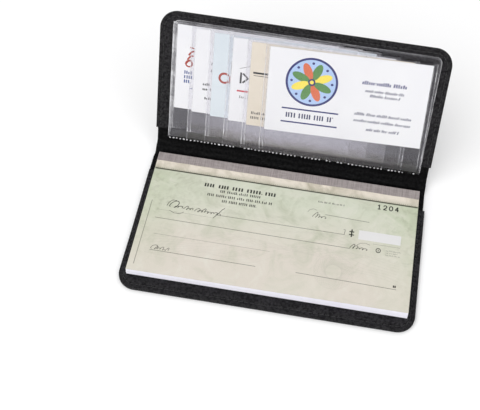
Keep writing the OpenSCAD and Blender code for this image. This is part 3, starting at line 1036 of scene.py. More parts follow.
def script(x0, x1, y, h, loops, seed, w=0.24, slant=0.55, first=1.9):
    """Running pen strokes that stand for handwriting: slanted loops of uneven height, no letters."""
    rng = random.Random(seed)
    amp = [first if i == 0 else rng.choice((0.35, 0.5, 0.55, 0.6, 1.15)) for i in range(loops + 1)]
    pts = []
    step = (x1 - x0) / loops
    bend = [rng.uniform(0.1, 0.5) for _ in amp]
    for i in range(loops * 9 + 1):
        t = i / 9
        k = min(int(t), loops - 1)
        a = amp[k] * h
        yy = a * (1 - math.cos(math.tau * t)) / 2
        pts.append((x0 + step * t - bend[k] * step * math.sin(math.tau * t) * (1 + a / h) / 1.5 + slant * yy, y + yy - 0.1 * h * math.sin(1.7 * t)))
    return line(pts, w)


def digit(d, x, y, w, h, t):
    """A plain figure drawn with strokes."""
    def el(cx, cy, rx, ry, a0=0, a1=360, n=22):
        a = np.radians(np.linspace(a0, a1, n))
        return [(cx + rx * math.cos(q), cy + ry * math.sin(q)) for q in a]
    shapes = {
        "0": [el(w / 2, h / 2, w / 2, h / 2)],
        "1": [[(w * 0.18, h * 0.78), (w * 0.52, h), (w * 0.52, 0)], [(w * 0.15, 0), (w * 0.88, 0)]],
        "2": [el(w / 2, h * 0.7, w * 0.45, h * 0.3, 165, -35, 12) + [(w * 0.05, 0), (w * 0.98, 0)]],
        "4": [[(w * 0.7, 0), (w * 0.7, h), (w * 0.02, h * 0.3), (w * 0.98, h * 0.3)]],
        "5": [[(w * 0.86, h), (w * 0.2, h), (w * 0.14, h * 0.56)] + el(w * 0.46, h * 0.32, w * 0.42, h * 0.32, 125, -150, 12)],
        "8": [el(w / 2, h * 0.74, w * 0.38, h * 0.26), el(w / 2, h * 0.26, w * 0.47, h * 0.27)],
    }[d]
    out = []
    for s in shapes:
        out += line([(x + px, y + py) for px, py in s], t)
    return out


def sheet_print(name, outline, prints, place, z0, z1, mats):
    """A sheet of paper whose top face holds its print as inked areas. prints is [(polygon, material number)],
    later ones over earlier ones."""
    verts, loops, kinds = [], [], []
    for poly, kind in [(outline, 0)] + prints:
        area = sum(a[0] * b[1] - b[0] * a[1] for a, b in zip(poly, poly[1:] + poly[:1])) / 2
        if abs(area) < 1e-5:
            continue
        if area < 0:
            poly = poly[::-1]
        start = len(verts)
        verts += [Vector(p) for p in poly]
        loops.append(list(range(start, start + len(poly))))
        kinds.append(kind)
    co, _, tris, _, _, origin = delaunay_2d_cdt(verts, [], loops, 1, 1e-5)
    co = np.array([tuple(c) for c in co])
    faces = [list(t) for t in tris]
    index = [kinds[max(o)] if o else 0 for o in origin]
    n = len(co)
    # the outer boundary, in order, makes the sides and the back
    count = {}
    for t in faces:
        for a, b in zip(t, t[1:] + t[:1]):
            count[(a, b)] = True
    nxt = {a: b for (a, b) in count if (b, a) not in count}
    start = next(iter(nxt))
    ring, cur = [start], nxt[start]
    while cur != start:
        ring.append(cur)
        cur = nxt[cur]
    top = place(co[:, 0], co[:, 1], np.full(n, z1))
    low = place(co[ring, 0], co[ring, 1], np.full(len(ring), z0))
    for i in range(len(ring)):
        j = (i + 1) % len(ring)
        faces.append([ring[j], ring[i], n + i, n + j])
        index.append(0)
    faces.append([n + i for i in range(len(ring))][::-1])
    index.append(0)
    return new_object(name, np.concatenate([top, low]), faces, mats, index, flat=True)


def check_print(number):
    P = []

    def put(polys, kind):
        P.extend((q, kind) for q in polys)

    # faint woven waves and a rosette in the paper, of this part's own design
    xs = np.linspace(-69, 69, 110)
    for j in range(9):
        ys = 30 + 3.1 * np.sin(xs / 7.5 + j * math.pi / 4.5) * np.cos(xs / 46) + 9 * np.sin(xs / 38 + j * 0.24)
        put([ribbon(np.stack([xs, ys], 1), 0.34)], 1)
    for j in range(7):
        ys = 52 + 2.2 * np.sin(xs / 6.1 + j * math.pi / 3.5) + 5 * np.sin(xs / 31 + 2 + j * 0.3)
        put([ribbon(np.stack([xs, ys], 1), 0.28)], 1)
    for j in range(18):
        a = math.pi * j / 18
        t = np.linspace(0, math.tau, 48, endpoint=False)
        ex, ey = 11 * np.cos(t), 4.4 * np.sin(t)
        px = 34 + ex * math.cos(a) - ey * math.sin(a)
        py = 27 + ex * math.sin(a) + ey * math.cos(a)
        put(line(list(zip(px, py)), 0.16, True), 2)
    # thin frame lines at the sides
    put([bar(-72.5, 55.2, -72.9, 12.5, 0.42)], 3)
    # heading
    put(ticks(-45.6, -4.6, 69.9, 2.35, 1, 0, 0.40, 0.70, (4, 5), 1.0), 4)
    put(ticks(-36.0, -12.4, 67.2, 1.7, 2, 0, 0.30, 0.6, (3, 6), 0.9), 4)
    put(ticks(-42.8, -5.4, 63.9, 1.7, 3, 0, 0.30, 0.6, (3, 6), 0.9), 4)
    put(ticks(-33.8, -12.8, 60.6, 1.7, 4, 0, 0.30, 0.6, (3, 5), 0.9), 4)
    # small figures, number, date line
    put(ticks(19.9, 35.4, 70.8, 1.15, 5, 0, 0.24, 0.6, (2, 4), 0.6), 4)
    for i, d in enumerate(number):
        put(digit(d, 53.4 + 3.35 * i, 72.6, 1.9, 2.9, 0.62), 4)
    put(script(17.9, 24.9, 60.5, 1.9, 4, 6, 0.27, 0.5, 1.9), 4)
    put([ribbon([(14.9, 63.4), (15.9, 65.0), (17.9, 65.9), (19.9, 65.3)], 0.24)], 5)
    put([bar(25.0, 63.2, 49.9, 62.5, 0.30)], 5)
    # payee line
    put(script(-61.6, -55.0, 52.5, 2.3, 3, 7, 0.40, 0.5, 2.0), 4)
    put(script(-53.9, -48.8, 52.3, 2.2, 3, 8, 0.32, 0.5, 1.1), 4)
    put(script(-47.4, -33.2, 51.9, 2.2, 8, 9, 0.32, 0.5, 1.1), 4)
    put([ribbon([(-63.6, 52.8), (-62.8, 55.4), (-61.0, 57.2), (-58.6, 57.1)], 0.32)], 4)
    put([ribbon([(-61.4, 49.9), (-58.6, 48.7), (-55.2, 48.7), (-53.4, 50.2)], 0.28)], 4)
    put([ribbon([(-36.6, 49.2), (-34.2, 52.6), (-32.4, 55.8), (-31.2, 56.9)], 0.34)], 4)
    put([bar(-68.4, 49.6, -37.4, 49.4, 0.14)], 3)
    put([bar(-35.6, 51.6, 37.0, 51.9, 0.30)], 5)
    put([bar(37.0, 51.8, 37.2, 55.2, 0.30), bar(36.2, 55.2, 37.3, 55.2, 0.26)], 5)
    # amount box with a plain mark before it
    put([rect(44.9, 50.3, 68.4, 56.4)], 6)
    put([bar(39.6, 52.5, 42.3, 52.5, 0.72), bar(39.6, 54.5, 42.3, 54.5, 0.72), bar(40.95, 51.0, 40.95, 56.1, 0.72)], 4)
    put([bar(53.4, 48.6, 68.4, 48.6, 0.2)], 3)
    # amount line
    put([bar(-68.4, 44.0, 41.0, 43.4, 0.30)], 5)
    put(script(40.9, 49.9, 43.8, 1.9, 5, 10, 0.30, 0.5, 1.6), 4)
    put([ribbon([(44.6, 46.4), (46.6, 47.9), (49.4, 48.4), (51.8, 47.5)], 0.24)], 5)
    put(line(disc(56.6, 44.9, 1.2, 16, 1.4), 0.44, True), 4)
    put([bar(56.6, 44.1, 56.6, 45.6, 0.36)], 4)
    for j, (a, b) in enumerate(((60.8, 69.6), (60.8, 67.4), (60.8, 68.8))):
        put(ticks(a, b, 45.2 - 1.4 * j, 0.8, 20 + j, 0, 0.24, 0.5, (3, 6)), 3)
    # lower lines
    put([bar(-66.5, 22.8, -8.0, 22.6, 0.30), bar(14.0, 22.8, 68.6, 21.95, 0.30)], 5)
    put(script(-65.6, -56.5, 23.6, 1.7, 6, 30, 0.24, 0.5, 1.6), 4)
    put(ticks(66.6, 70.0, 23.0, 1.4, 31, 0, 0.5, 0.7, (2, 3), 1.0), 4)
    put([bar(-66.5, 33.4, -2.0, 33.4, 0.2)], 3)
    # painted shade: a dark band along the perforation at the upper edge, where the gap to the stub lies in shade
    put([rect(-75.95, 77.1, 75.95, 77.97)], 7)
    return P


check = sheet_print(
    "top_check_leaf", [(-PAD_X, PAD_Y0 + front_lean(-PAD_X)), (PAD_X, PAD_Y0 + front_lean(PAD_X)), (PAD_X, 78.0), (-PAD_X, 78.0)], check_print("1204"), base, PAD_TOP - 0.15, PAD_TOP,
    [M_CHECK, M_MARK, M_MARK2, M_FAINT, M_INK, M_RULE, M_BOX, M_TEAR_SHADE])
NEXT_X = PAD_X - 0.03
next_check = sheet_print(
    "next_check_leaf", [(-NEXT_X, PAD_Y0 + 0.06 + front_lean(-PAD_X)), (NEXT_X, PAD_Y0 + 0.06 + front_lean(PAD_X)), (NEXT_X, 79.6), (-NEXT_X, 79.6)],
    check_print("1205"), base, PAD_TOP - 0.21, PAD_TOP - 0.165, [M_CHECK, M_MARK, M_MARK2, M_FAINT, M_INK, M_RULE, M_BOX, M_TEAR_SHADE])

# painted shade: the perforation holes are dark dots on the stub's face
hole_shades = [(disc(x, 78.5, 0.18, 8), 1) for x in np.arange(-75.3, 75.4, 1.1)]
stub = sheet_print("stub_leaf", rect(-PAD_X, TEAR_Y + 0.1, PAD_X, PAD_Y1), hole_shades, base, PAD_TOP - 0.15, PAD_TOP, [M_STUB, M_STUB_HOLE_SHADE])


def tape_mesh():
    wob = wave(31, 8, 0.05, 0.6)
    fine = wave(33, 10, 0.5, 2.2)
    xs = np.linspace(-PAD_X - 0.02, PAD_X + 0.02, 150)
    path = [(TAPE_Y + t, PAD_TOP) for t in (0.0, 0.25, 0.8, 1.4, 1.9, 2.15, 2.4, 2.65, 2.9, 3.4, 4.0, 4.8, 5.4)]
    path += [(PAD_Y1 - 0.16 * (1 - math.sin(a)), PAD_TOP - 0.16 * (1 - math.cos(a))) for a in np.radians([15, 40, 65, 90])]
    path += [(PAD_Y1, z) for z in (6.2, 5.4, 4.6, 3.8, 3.0, 2.3, 1.9)]
    path = np.array(path)
    t = np.gradient(path, axis=0)
    t /= np.linalg.norm(t, axis=1)[:, None]
    nrm = np.stack([-t[:, 1], t[:, 0]], axis=1)
    rings = []
    for x in xs:
        p = path.copy()
        p[0, 0] += 0.10 * float(wob(x, 0)) + 0.04 * float(fine(x, 1))
        lift = np.zeros(len(p))
        for sx in (-50, 0, 50):
            u = np.exp(-((p[:, 0] - (TAPE_Y + 2.4)) / 0.42) ** 2) * smooth((6.1 - abs(x - sx)) / 0.5)
            lift += np.where(p[:, 1] > 6.7, 0.07 * u, 0)
        lift += 0.02 * (1 + fine(x, p[:, 0] + p[:, 1]))
        inner = p + nrm * 0.005
        outer = p + nrm * (0.09 + lift)[:, None]
        loop = np.concatenate([inner, outer[::-1]])
        rings.append(base(np.full(len(loop), x), loop[:, 0], loop[:, 1]))
    return sweep(rings)


v, f = tape_mesh()
tape = new_object("pad_binding_tape", v, f, [M_TAPE], sharp=50)

# ------------------------------------------------------------------ vinyl insert

INS_R = 3.8


def ins_half(r):
    return np.full(np.shape(r), INSERT_HW)


back_offs = [0, 0.02, 0.3, 1.0, 2.5, 5]
film_back = panel(
    "film_backing", rows_of(back_offs, [(70, 3.0), (INSERT_Y1 - INSERT_Y0 - 0.02, 1.5), (INSERT_Y1 - INSERT_Y0, 0.1)]), back_offs, 40, ins_half, INS_R,
    lambda o, x, r: np.full(x.shape, FILM_Z), lambda o, x, r: np.full(x.shape, FILM_Z + FILM_T),
    lambda x, r, h: lid(x + INSERT_X, INSERT_Y1 - r, h), [M_BACKING], closed_end=True)


def rim_mesh():
    prof = [(0.0, 1.905, 0), (0.0, 2.0, 0.5), (0.1, 2.075, 1), (0.24, 2.095, 1), (0.36, 2.07, 1), (0.46, 2.0, 0), (0.56, 1.985, 0),
            (0.72, 1.985, 0), (0.8, 2.02, 0.5), (0.9, 2.055, 0.55), (1.1, 2.06, 0.5), (1.26, 2.05, 0.55), (1.34, 1.99, 0.3), (1.34, 1.905, 0)]
    path = []
    for y in np.linspace(INSERT_Y0 + 0.3, INSERT_Y1 - INS_R, 40):
        path.append((-INSERT_HW, y, 1, 0))
    for a in np.linspace(0, math.pi / 2, 12)[1:]:
        path.append((-INSERT_HW + INS_R - INS_R * math.cos(a), INSERT_Y1 - INS_R + INS_R * math.sin(a), math.cos(a), -math.sin(a)))
    for x in np.linspace(-INSERT_HW + INS_R, INSERT_HW - INS_R, 60)[1:]:
        path.append((x, INSERT_Y1, 0, -1))
    for a in np.linspace(0, math.pi / 2, 12)[1:]:
        path.append((INSERT_HW - INS_R + INS_R * math.sin(a), INSERT_Y1 - INS_R + INS_R * math.cos(a), -math.sin(a), -math.cos(a)))
    for y in np.linspace(INSERT_Y1 - INS_R, INSERT_Y0 + 0.3, 40)[1:]:
        path.append((INSERT_HW, y, -1, 0))
    o = np.array([q[0] for q in prof])
    z = np.array([q[1] for q in prof])
    mark = np.array([q[2] for q in prof])
    fade = wave(41, 9, 0.15, 0.9)
    rings, ridges_and_highlights = [], []
    for (px, py, nx, ny) in path:
        rings.append(lid(px + nx * o + INSERT_X, py + ny * o, z))
        # painted highlight: the rim's beads are whitened, more along the sides than the top, and the inner bead more on
        # the left than on the right
        side = smooth((abs(px) - (INSERT_HW - 5)) / 4)
        inner = np.where(o > 0.6, 1.0 if px < 0 else 0.1, 1.0 if px < 0 else 0.75)
        highlight_streak = 0.75 + 0.45 * float(fade(px, py))
        ridges_and_highlights.append(np.clip(mark * (0.38 + 0.62 * side) * inner * highlight_streak, 0, 1))
    v, f = sweep(rings)
    return v, f, np.concatenate(ridges_and_highlights)


v, f, rv = rim_mesh()
rim = new_object("film_rim", v, f, [M_RIM], sharp=60, attrs={"ridge_and_painted_highlight": rv})


def seam_mesh():
    """The weld bar, with a row of short raised dashes along it."""
    rng = random.Random(12)
    parts = []
    prof = [(2.42, 1.09), (2.42, 2.46), (2.55, 2.56), (2.8, 2.62), (3.15, 2.62), (3.36, 2.54), (3.4, 2.4), (3.4, 1.09)]
    rings = []
    for x in np.linspace(-INSERT_HW, INSERT_HW, 60):
        p = np.array(prof)
        rings.append(lid(np.full(len(p), x + INSERT_X), p[:, 0], p[:, 1]))
    v, f = sweep(rings)
    parts.append((v, f, 0))
    x = -INSERT_HW + 0.9
    while x < INSERT_HW - 1.4:
        ln = rng.uniform(0.6, 1.3)
        wide = rng.uniform(0.24, 0.46)
        if rng.random() < 0.9:
            y0 = 2.78 + rng.uniform(-0.12, 0.12)
            tilt = rng.uniform(-0.35, 0.35)
            hgt = rng.uniform(0.18, 0.28)
            rings = []
            for k in range(7):
                u = k / 6
                grow = math.sqrt(max(0.03, 1 - (2 * u - 1) ** 4))
                ring = []
                for q in range(8):
                    a = math.tau * q / 8
                    ring.append((x + u * ln, y0 + tilt * (u - 0.5) * ln + wide * grow * math.cos(a), 2.64 + hgt * grow * math.sin(a)))
                ring = np.array(ring)
                rings.append(lid(ring[:, 0] + INSERT_X, ring[:, 1], ring[:, 2]))
            v, f = sweep(rings)
            parts.append((v, f, 1))
        x += 2.1 + rng.uniform(-0.2, 0.2)
    return join_parts(parts)


v, f, idx = seam_mesh()
seam = new_object("film_weld_seam", v, f, [M_BAR, M_DASH], idx, sharp=60)

# ---- sleeves and cards, in the lid's frame


def at_card(k, u, v):
    """Card k's own plane to the lid's x and y."""
    a = math.radians(SKEW[k - 1])
    return (CARD_X + (k - 1) * STEP_X + u * math.cos(a) - v * math.sin(a), CARD_Y - (k - 1) * STEP_Y + u * math.sin(a) + v * math.cos(a))


def lie(k, y):
    """How much of sleeve k's own height the film has reached at y: it lies down towards the weld seam."""
    return smooth((y - 3.2) / 5.0)


def film_level(k, y):
    seam_z = 2.10 + 0.088 * (k - 1)
    full = SLEEVE_Z + (k - 1) * PITCH
    return seam_z + (full - seam_z) * lie(k, y)


def sleeve_mesh(k):
    side = 2.4
    u0, u1 = -side, CARD_W + side
    vb, vt = -13.4, CARD_H + 1.1
    us = np.concatenate([u0 + np.array([0, 0.12, 0.3, 0.55, 0.9, 1.25, 1.6, 1.85, 2.05, 2.25, 2.45, 2.8]),
                         np.linspace(1.2, CARD_W - 1.2, 24),
                         u1 - np.array([0, 0.12, 0.3, 0.55, 0.9, 1.25, 1.6, 1.85, 2.05, 2.25, 2.45, 2.8])[::-1]])
    vs = np.concatenate([vb + np.array([0, 0.12, 0.3, 0.6, 0.95, 1.2, 1.5, 2.0, 2.8, 3.8, 5.0, 6.5, 8.5, 11.0, 13.0]),
                         np.linspace(2.0, vt - 1.2, 14), [vt - 0.6, vt - 0.25, vt]])
    # back sheet with its flap down to the seam
    taus = np.linspace(0, 1, 14)[:-1]
    rows_u, rows_x, rows_y = [], [], []
    bx, by = at_card(k, us, np.full(us.shape, vb))
    sx = np.clip(bx, INSERT_X - INSERT_HW + 0.1, INSERT_X + INSERT_HW - 0.1)
    for t in taus:
        w = t
        rows_x.append(sx + (bx - sx) * smooth(w))
        rows_y.append(2.95 + (by - 2.95) * w)
    for vv in vs:
        x, y = at_card(k, us, np.full(us.shape, vv))
        rows_x.append(x)
        rows_y.append(y)
    X, Y = np.array(rows_x), np.array(rows_y)
    Z = film_level(k, Y)
    nf = len(taus)
    back = (X, Y, Z, Z + FILM_T)
    # front sheet, welded to the back along both sides and the bottom
    Xf, Yf = X[nf:], Y[nf:]
    U = np.repeat(us[None, :], len(vs), 0)
    V = np.repeat(vs[:, None], len(us), 1)
    lift = 0.225 * lie(k, Yf)
    o_side = np.minimum(U - u0, u1 - U)
    o_low = V - vb
    rise = smooth((o_side - 1.55) / 0.8) * smooth((o_low - 0.95) / 6.0)
    Zf = film_level(k, Yf) + FILM_T + 0.006 + lift * rise
    # painted highlight: the weld ridges are whitened, fully on the left but faintly on the right for most sleeves, and
    # the bottom weld only on the left
    ridge_and_painted_highlight = np.exp(-((o_side - 0.28) / 0.2) ** 2) + 0.8 * np.exp(-((o_side - 2.12) / 0.2) ** 2)
    ridge_and_painted_highlight = ridge_and_painted_highlight * np.where(U > CARD_W / 2, {5: 0.8, 6: 0.7}.get(k, 0.12), 1.0)
    ridge_and_painted_highlight = ridge_and_painted_highlight + 0.5 * np.exp(-((o_low - 0.25) / 0.2) ** 2) * smooth((4.5 - o_side) / 1.5) * (U < CARD_W / 2)
    Zf = Zf + 0.03 * np.clip(ridge_and_painted_highlight, 0, 1)
    # painted highlight: a whiter band along sleeve 1's left weld
    if k == 1:
        ridge_and_painted_highlight = ridge_and_painted_highlight + 0.42 * (1 - smooth((o_side - 1.9) / 0.4)) * (U < CARD_W / 2)
    # painted reflection: a lighter band of film above each card, fading out towards the right
    highlight_end = CARD_W + (3 - k) * STEP_X
    ridge_and_painted_highlight = ridge_and_painted_highlight + 0.34 * smooth((V - CARD_H - 0.02) / 0.4) * (1 - smooth((U - highlight_end + 3) / 5))
    front = (Xf, Yf, Zf, Zf + FILM_T)
    parts, ridges_and_highlights, flats = [], [], []
    for which, (gx, gy, zl, zh) in enumerate((back, front)):
        nr, nc = gx.shape
        top = lid(gx, gy, zh).reshape(-1, 3)
        low = lid(gx, gy, zl).reshape(-1, 3)
        ids = np.arange(nr * nc).reshape(nr, nc)
        faces = []
        q = np.stack([ids[:-1, :-1], ids[:-1, 1:], ids[1:, 1:], ids[1:, :-1]], -1).reshape(-1, 4)
        faces += q.tolist()
        faces += (q[:, ::-1] + nr * nc).tolist()
        rim_ids = list(ids[0, :]) + list(ids[1:, -1]) + list(ids[-1, -2::-1]) + list(ids[-2:0:-1, 0])
        for a, b in zip(rim_ids, rim_ids[1:] + rim_ids[:1]):
            faces.append([int(b), int(a), int(a) + nr * nc, int(b) + nr * nc])
        parts.append((np.concatenate([top, low]), faces, 0))
        rv = np.zeros(nr * nc) if which == 0 else np.clip(ridge_and_painted_highlight, 0, 1).ravel()
        # painted highlight along the back sheet's side edges
        if which == 0:
            edge_line = np.exp(-(np.minimum(us - u0, u1 - us) / 0.2) ** 2)
            rv = np.repeat(edge_line[None, :], nr, 0).ravel() * 0.5
        ridges_and_highlights.append(np.concatenate([rv, rv * 0]))
        fl = (0.12 + 0.88 * smooth((gy - 4.5) / 7.0)) * (1 - 0.6 * smooth((gx - 34) / 26)) * (1 - 0.36 * smooth((-28 - gx) / 26))
        fl = fl.ravel()
        flats.append(np.concatenate([fl, fl]))
    v, f, idx = join_parts(parts)
    return new_object(f"card_sleeve_{k}", v, f, [M_FILMS[k]], idx, sharp=50, attrs={"ridge_and_painted_highlight": np.concatenate(ridges_and_highlights), "flat": np.concatenate(flats)})


def card_place(k):
    z = SLEEVE_Z + (k - 1) * PITCH

    def place(u, v, w):
        x, y = at_card(k, np.asarray(u, float), np.asarray(v, float))
        return lid(x, y, z + w)
    return place


def card_prints(k):
    P = []

    def put(polys, kind):
        P.extend((q, kind) for q in polys)

    if k == 1:      # white, a sprig in brick red and blue lines
        for i, (a, b) in enumerate(((5.4, 27.6), (6.4, 30.4), (7.0, 33.2))):
            t = np.linspace(0, 1, 12)
            put([ribbon(np.stack([a + 3.4 * t, b + 2.6 * t + 1.0 * np.sin(math.pi * t)], 1), 1.0)], 1)
        put([bar(7.6, 38.0, 9.9, 37.7, 0.7)], 1)
        put(line(disc(7.4, 28.2, 1.8, 20), 0.85, True), 1)
        for j, y in enumerate((21.8, 19.0, 16.3)):
            put(ticks(5.0, 10.6, y, 2.0, 40 + j, 0, 0.34, 0.62, (3, 4), 0.7), 2)
        put([bar(8.4, 13.0, 10.2, 13.2, 0.4)], 2)
        put(ticks(20, 60, 22, 1.9, 45, 0, 0.22, 0.46, (3, 6)), 2)
    elif k == 2:    # white, small black lines
        put(ticks(5.4, 16, 17.4, 1.6, 50, 0, 0.42, 0.66, (3, 5), 0.7), 1)
        put(ticks(5.4, 14, 14.4, 1.6, 51, 0, 0.42, 0.66, (3, 5), 0.7), 1)
        put(ticks(6.8, 12, 8.8, 1.5, 52, 0, 0.46, 0.7, (3, 5), 0.9), 1)
        for y in (30.2, 26.0):
            put([bar(9.7, y, 10.0, y + 1.7, 0.4)], 1)
        put(line(disc(30, 32, 6, 30), 1.0, True), 1)
    elif k == 3:    # pale blue, a brick-red ring mark
        put(line(arc(7.0, 24.6, 2.8, 40, 320, 18), 1.25), 1)
        put([rect(9.6, 21.6, 10.5, 26.2)], 1)
        put([bar(10.6, 28.0, 10.7, 35.4, 0.5)], 2)
        put(ticks(16, 40, 17, 1.3, 55, 0, 0.24, 0.46, (3, 6)), 2)
    elif k == 4:    # white, a black block mark over a rose line
        put([rect(5.0, 24.0, 6.1, 30.6)], 1)
        put(line([(6.8, 24.6), (9.6, 27.3), (6.8, 30.0)], 1.0), 1)
        put([rect(10.3, 24.2, 11.1, 28.4)], 1)
        put([rect(3.8, 18.8, 26.0, 19.8)], 2)
        put(ticks(5.4, 16, 14.9, 1.7, 60, 0.1, 0.26, 0.54, (3, 5)), 3)
        put([ribbon([(4.6, 32.9), (7.4, 33.9), (10.6, 35.0), (14, 35.2)], 0.26)], 3)
    elif k == 5:    # beige, a black bar with a fine line, two small lines
        put([rect(1.8, 32.1, 20, 33.2)], 1)
        put([rect(2.2, 30.8, 20, 31.15)], 1)
        put(ticks(2.4, 16, 7.2, 1.6, 65, 0, 0.3, 0.58, (5, 7), 0.8), 1)
        put(ticks(2.2, 16, 4.2, 1.6, 66, 0, 0.3, 0.58, (5, 7), 0.8), 1)
    else:           # white, a four-petal rosette in a ring, a ruled label and navy lines
        cx, cy, r = 24.4, 32.4, 14.6
        put([disc(cx, cy, r, 64)], 1)
        put([disc(cx, cy, r - 1.25, 64)], 2)
        for i, kind in enumerate((3, 4, 5, 4, 3, 4, 5, 4)):
            a = math.radians(45 * i + 22.5)
            t = np.linspace(0, math.tau, 28, endpoint=False)
            ex, ey = 6.7 + 5.2 * np.cos(t), 2.35 * np.sin(t)
            put([[(cx + px * math.cos(a) - py * math.sin(a), cy + px * math.sin(a) + py * math.cos(a)) for px, py in zip(ex, ey)]], kind)
        for i in range(8):
            a = math.radians(45 * i)
            put([disc(cx + 11.3 * math.cos(a), cy + 11.3 * math.sin(a), 0.75, 14)], 1)
        put([disc(cx, cy, 2.1, 24)], 1)
        put([disc(cx, cy, 1.15, 20)], 3)
        put([rect(9.0, 14.6, 41.0, 15.5), rect(9.0, 6.2, 41.0, 7.1)], 1)
        put(ticks(11.6, 38.8, 9.5, 3.0, 70, 0, 0.26, 0.5, (4, 5), 1.0), 6)
        put(ticks(52.0, 78.2, 35.2, 2.2, 71, 0.12, 0.34, 0.56, (5, 7), 0.4), 1)
        put(ticks(54.2, 76.4, 30.7, 1.75, 72, 0.3, 0.3, 0.54, (5, 8)), 6)
        put(ticks(57.0, 74.0, 27.9, 1.75, 73, 0.3, 0.3, 0.54, (7, 9)), 6)
        put(ticks(49.8, 82.0, 16.2, 1.8, 74, 0.3, 0.3, 0.54, (4, 6)), 6)
        put(ticks(49.8, 82.0, 12.1, 1.8, 75, 0.3, 0.3, 0.54, (4, 7)), 6)
        put(ticks(57.4, 76.0, 7.0, 1.8, 76, 0.3, 0.3, 0.54, (3, 4)), 6)
    return P


CARD_MATS = {
    1: [M_WHITE, I_RED, I_BLUE], 2: [M_WHITE, I_BLACK], 3: [M_BLUE, I_RED, I_GREY], 4: [M_WHITE, I_BLACK, I_ROSE, I_GREY],
    5: [M_BEIGE, I_BLACK], 6: [M_WHITE, I_NAVY, I_SKY, I_YELLOW, I_GREEN, I_ORANGE, I_NAVY2],
}

sleeves, cards = {}, {}
for k in range(1, 7):
    sleeves[k] = sleeve_mesh(k)
    z0 = FILM_T + 0.015
    cards[k] = sheet_print(f"business_card_{k}", rect(0, 0, CARD_W, CARD_H), card_prints(k), card_place(k), z0, z0 + CARD_T, CARD_MATS[k])

# ------------------------------------------------------------------ bodies


def at_s(s, h=0.0):
    return tuple(float(c) for c in fold(0.0, s, h))


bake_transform(skin_low)
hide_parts("base_shell", "base_lining", "spine_shell")
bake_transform(skin_up)
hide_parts("lid_shell", "lid_lining", "spine_shell", "spine_lining")
for ob, body, node, slot in (
        (pocket_base, "base", "base_pocket", "leatherette"), (pocket_lid, "lid", "lid_pocket", "leatherette"),
        (thread_base, "base", "base_stitching", "thread"), (thread_lid, "lid", "lid_stitching", "thread"),
        (pad, "base", "check_stack", "check_paper"), (next_check, "base", "check_stack", "check_paper"),
        (stub, "base", "check_stub", "stub_paper"),
        (tape, "base", "binding_tape", "binding_tape"), (check, "top_check", "top_check", "check_paper"),
        (film_back, "lid", "vinyl_backing", "clear_vinyl"), (rim, "lid", "vinyl_edge_weld", "weld"),
        (seam, "lid", "vinyl_weld_seam", "weld")):
    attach(ob, body)
    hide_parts(node)
for k in range(1, 7):
    hinge = 3.8 + 0.86 * (6 - k)
    zk = SLEEVE_Z + (k - 1) * PITCH
    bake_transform(sleeves[k], "lid", f"sleeve_{k}", start=tuple(float(c) for c in lid(0, hinge - 0.4, zk)), end=tuple(float(c) for c in lid(0, hinge + 2.6, zk)))
    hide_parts(f"sleeve_{k}")
    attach(cards[k], f"card_{k}")
    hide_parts(f"card_{k}")

# ------------------------------------------------------------------ floor, light, camera


def floor_material():
    m, nt, bsdf, _ = shader("studio_floor")
    v = coords(nt)
    nt.links.new(mix(nt, noise(nt, v, 3.0, 2.0), (0.975, 0.975, 0.98, 1), (0.99, 0.99, 0.99, 1)), bsdf.inputs["Base Color"])
    bsdf.inputs["Roughness"].default_value = 0.9
    bsdf.inputs["Specular IOR Level"].default_value = 0.1
    return m


fm = bpy.data.meshes.new("floor")
fm.from_pydata([(-4, -4, -0.0002), (4, -4, -0.0002), (4, 4, -0.0002), (-4, 4, -0.0002)], [], [(0, 1, 2, 3)])
floor = bpy.data.objects.new("floor", fm)
fm.materials.append(floor_material())
scene.collection.objects.link(floor)

world = bpy.data.worlds.new("studio")
scene.world = world
world.use_nodes = True
bg = world.node_tree.nodes["Background"]
bg.inputs["Color"].default_value = (1.0, 1.0, 1.0, 1)
bg.inputs["Strength"].default_value = 0.76


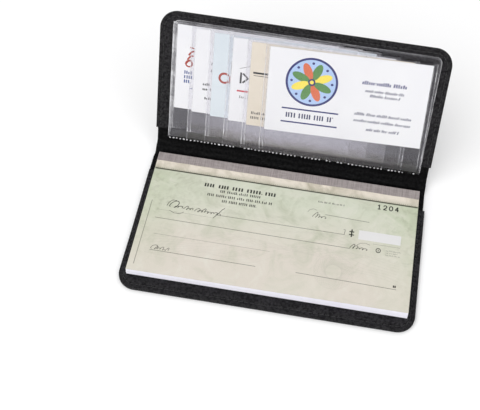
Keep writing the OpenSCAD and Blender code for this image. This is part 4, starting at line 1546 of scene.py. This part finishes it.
def area(name, loc, target, size, energy, color=(1, 1, 1)):
    li = bpy.data.lights.new(name, "AREA")
    li.shape = "RECTANGLE"
    li.size, li.size_y = size
    li.energy = energy
    li.color = color
    ob = bpy.data.objects.new(name, li)
    ob.location = loc
    ob.rotation_euler = (Vector(target) - Vector(loc)).to_track_quat("-Z", "Y").to_euler()
    scene.collection.objects.link(ob)
    return ob


area("key", (-0.6, -0.7, 1.3), (0, 0, 0.02), (1.5, 1.3), 11.0)
area("fill", (0.9, -0.5, 0.9), (0, 0.02, 0.03), (0.9, 0.9), 2.0)

F_PX, ELEV, ROLL, DIST, YAW = 974.488, 55.209, 3.581, 557.886, -6.353
TX, TY = 4.601, -24.110
e, rr, yw = (math.radians(a) for a in (ELEV, ROLL, YAW))
fwd = Vector((0, math.cos(e), -math.sin(e)))
right = Vector((1, 0, 0))
up = right.cross(fwd)
r2 = math.cos(rr) * right + math.sin(rr) * up
u2 = -math.sin(rr) * right + math.cos(rr) * up
spin = Matrix.Rotation(-yw, 3, "Z")
pos = spin @ (-DIST * fwd - Vector((TX, TY, 0)))
ax, ay, az = spin @ r2, spin @ u2, spin @ (-fwd)
cam_data = bpy.data.cameras.new("camera")
cam_data.sensor_fit = "HORIZONTAL"
cam_data.sensor_width = 36.0
cam_data.lens = F_PX * 36.0 / 480
cam_data.shift_x = -(270 - 240) / 480
cam_data.shift_y = 0.0
cam_data.clip_start = 0.01
cam_data.clip_end = 20
cam = bpy.data.objects.new("camera", cam_data)
m = Matrix(((ax.x, ay.x, az.x, pos.x * MM), (ax.y, ay.y, az.y, pos.y * MM), (ax.z, ay.z, az.z, pos.z * MM), (0, 0, 0, 1)))
cam.matrix_world = m
scene.collection.objects.link(cam)
scene.camera = cam

scene.view_settings.view_transform = "Standard"
scene.view_settings.look = "None"
scene.cycles.transparent_max_bounces = 96
scene.cycles.max_bounces = 20
scene.cycles.glossy_bounces = 16
scene.cycles.diffuse_bounces = 4
scene.cycles.use_denoising = True
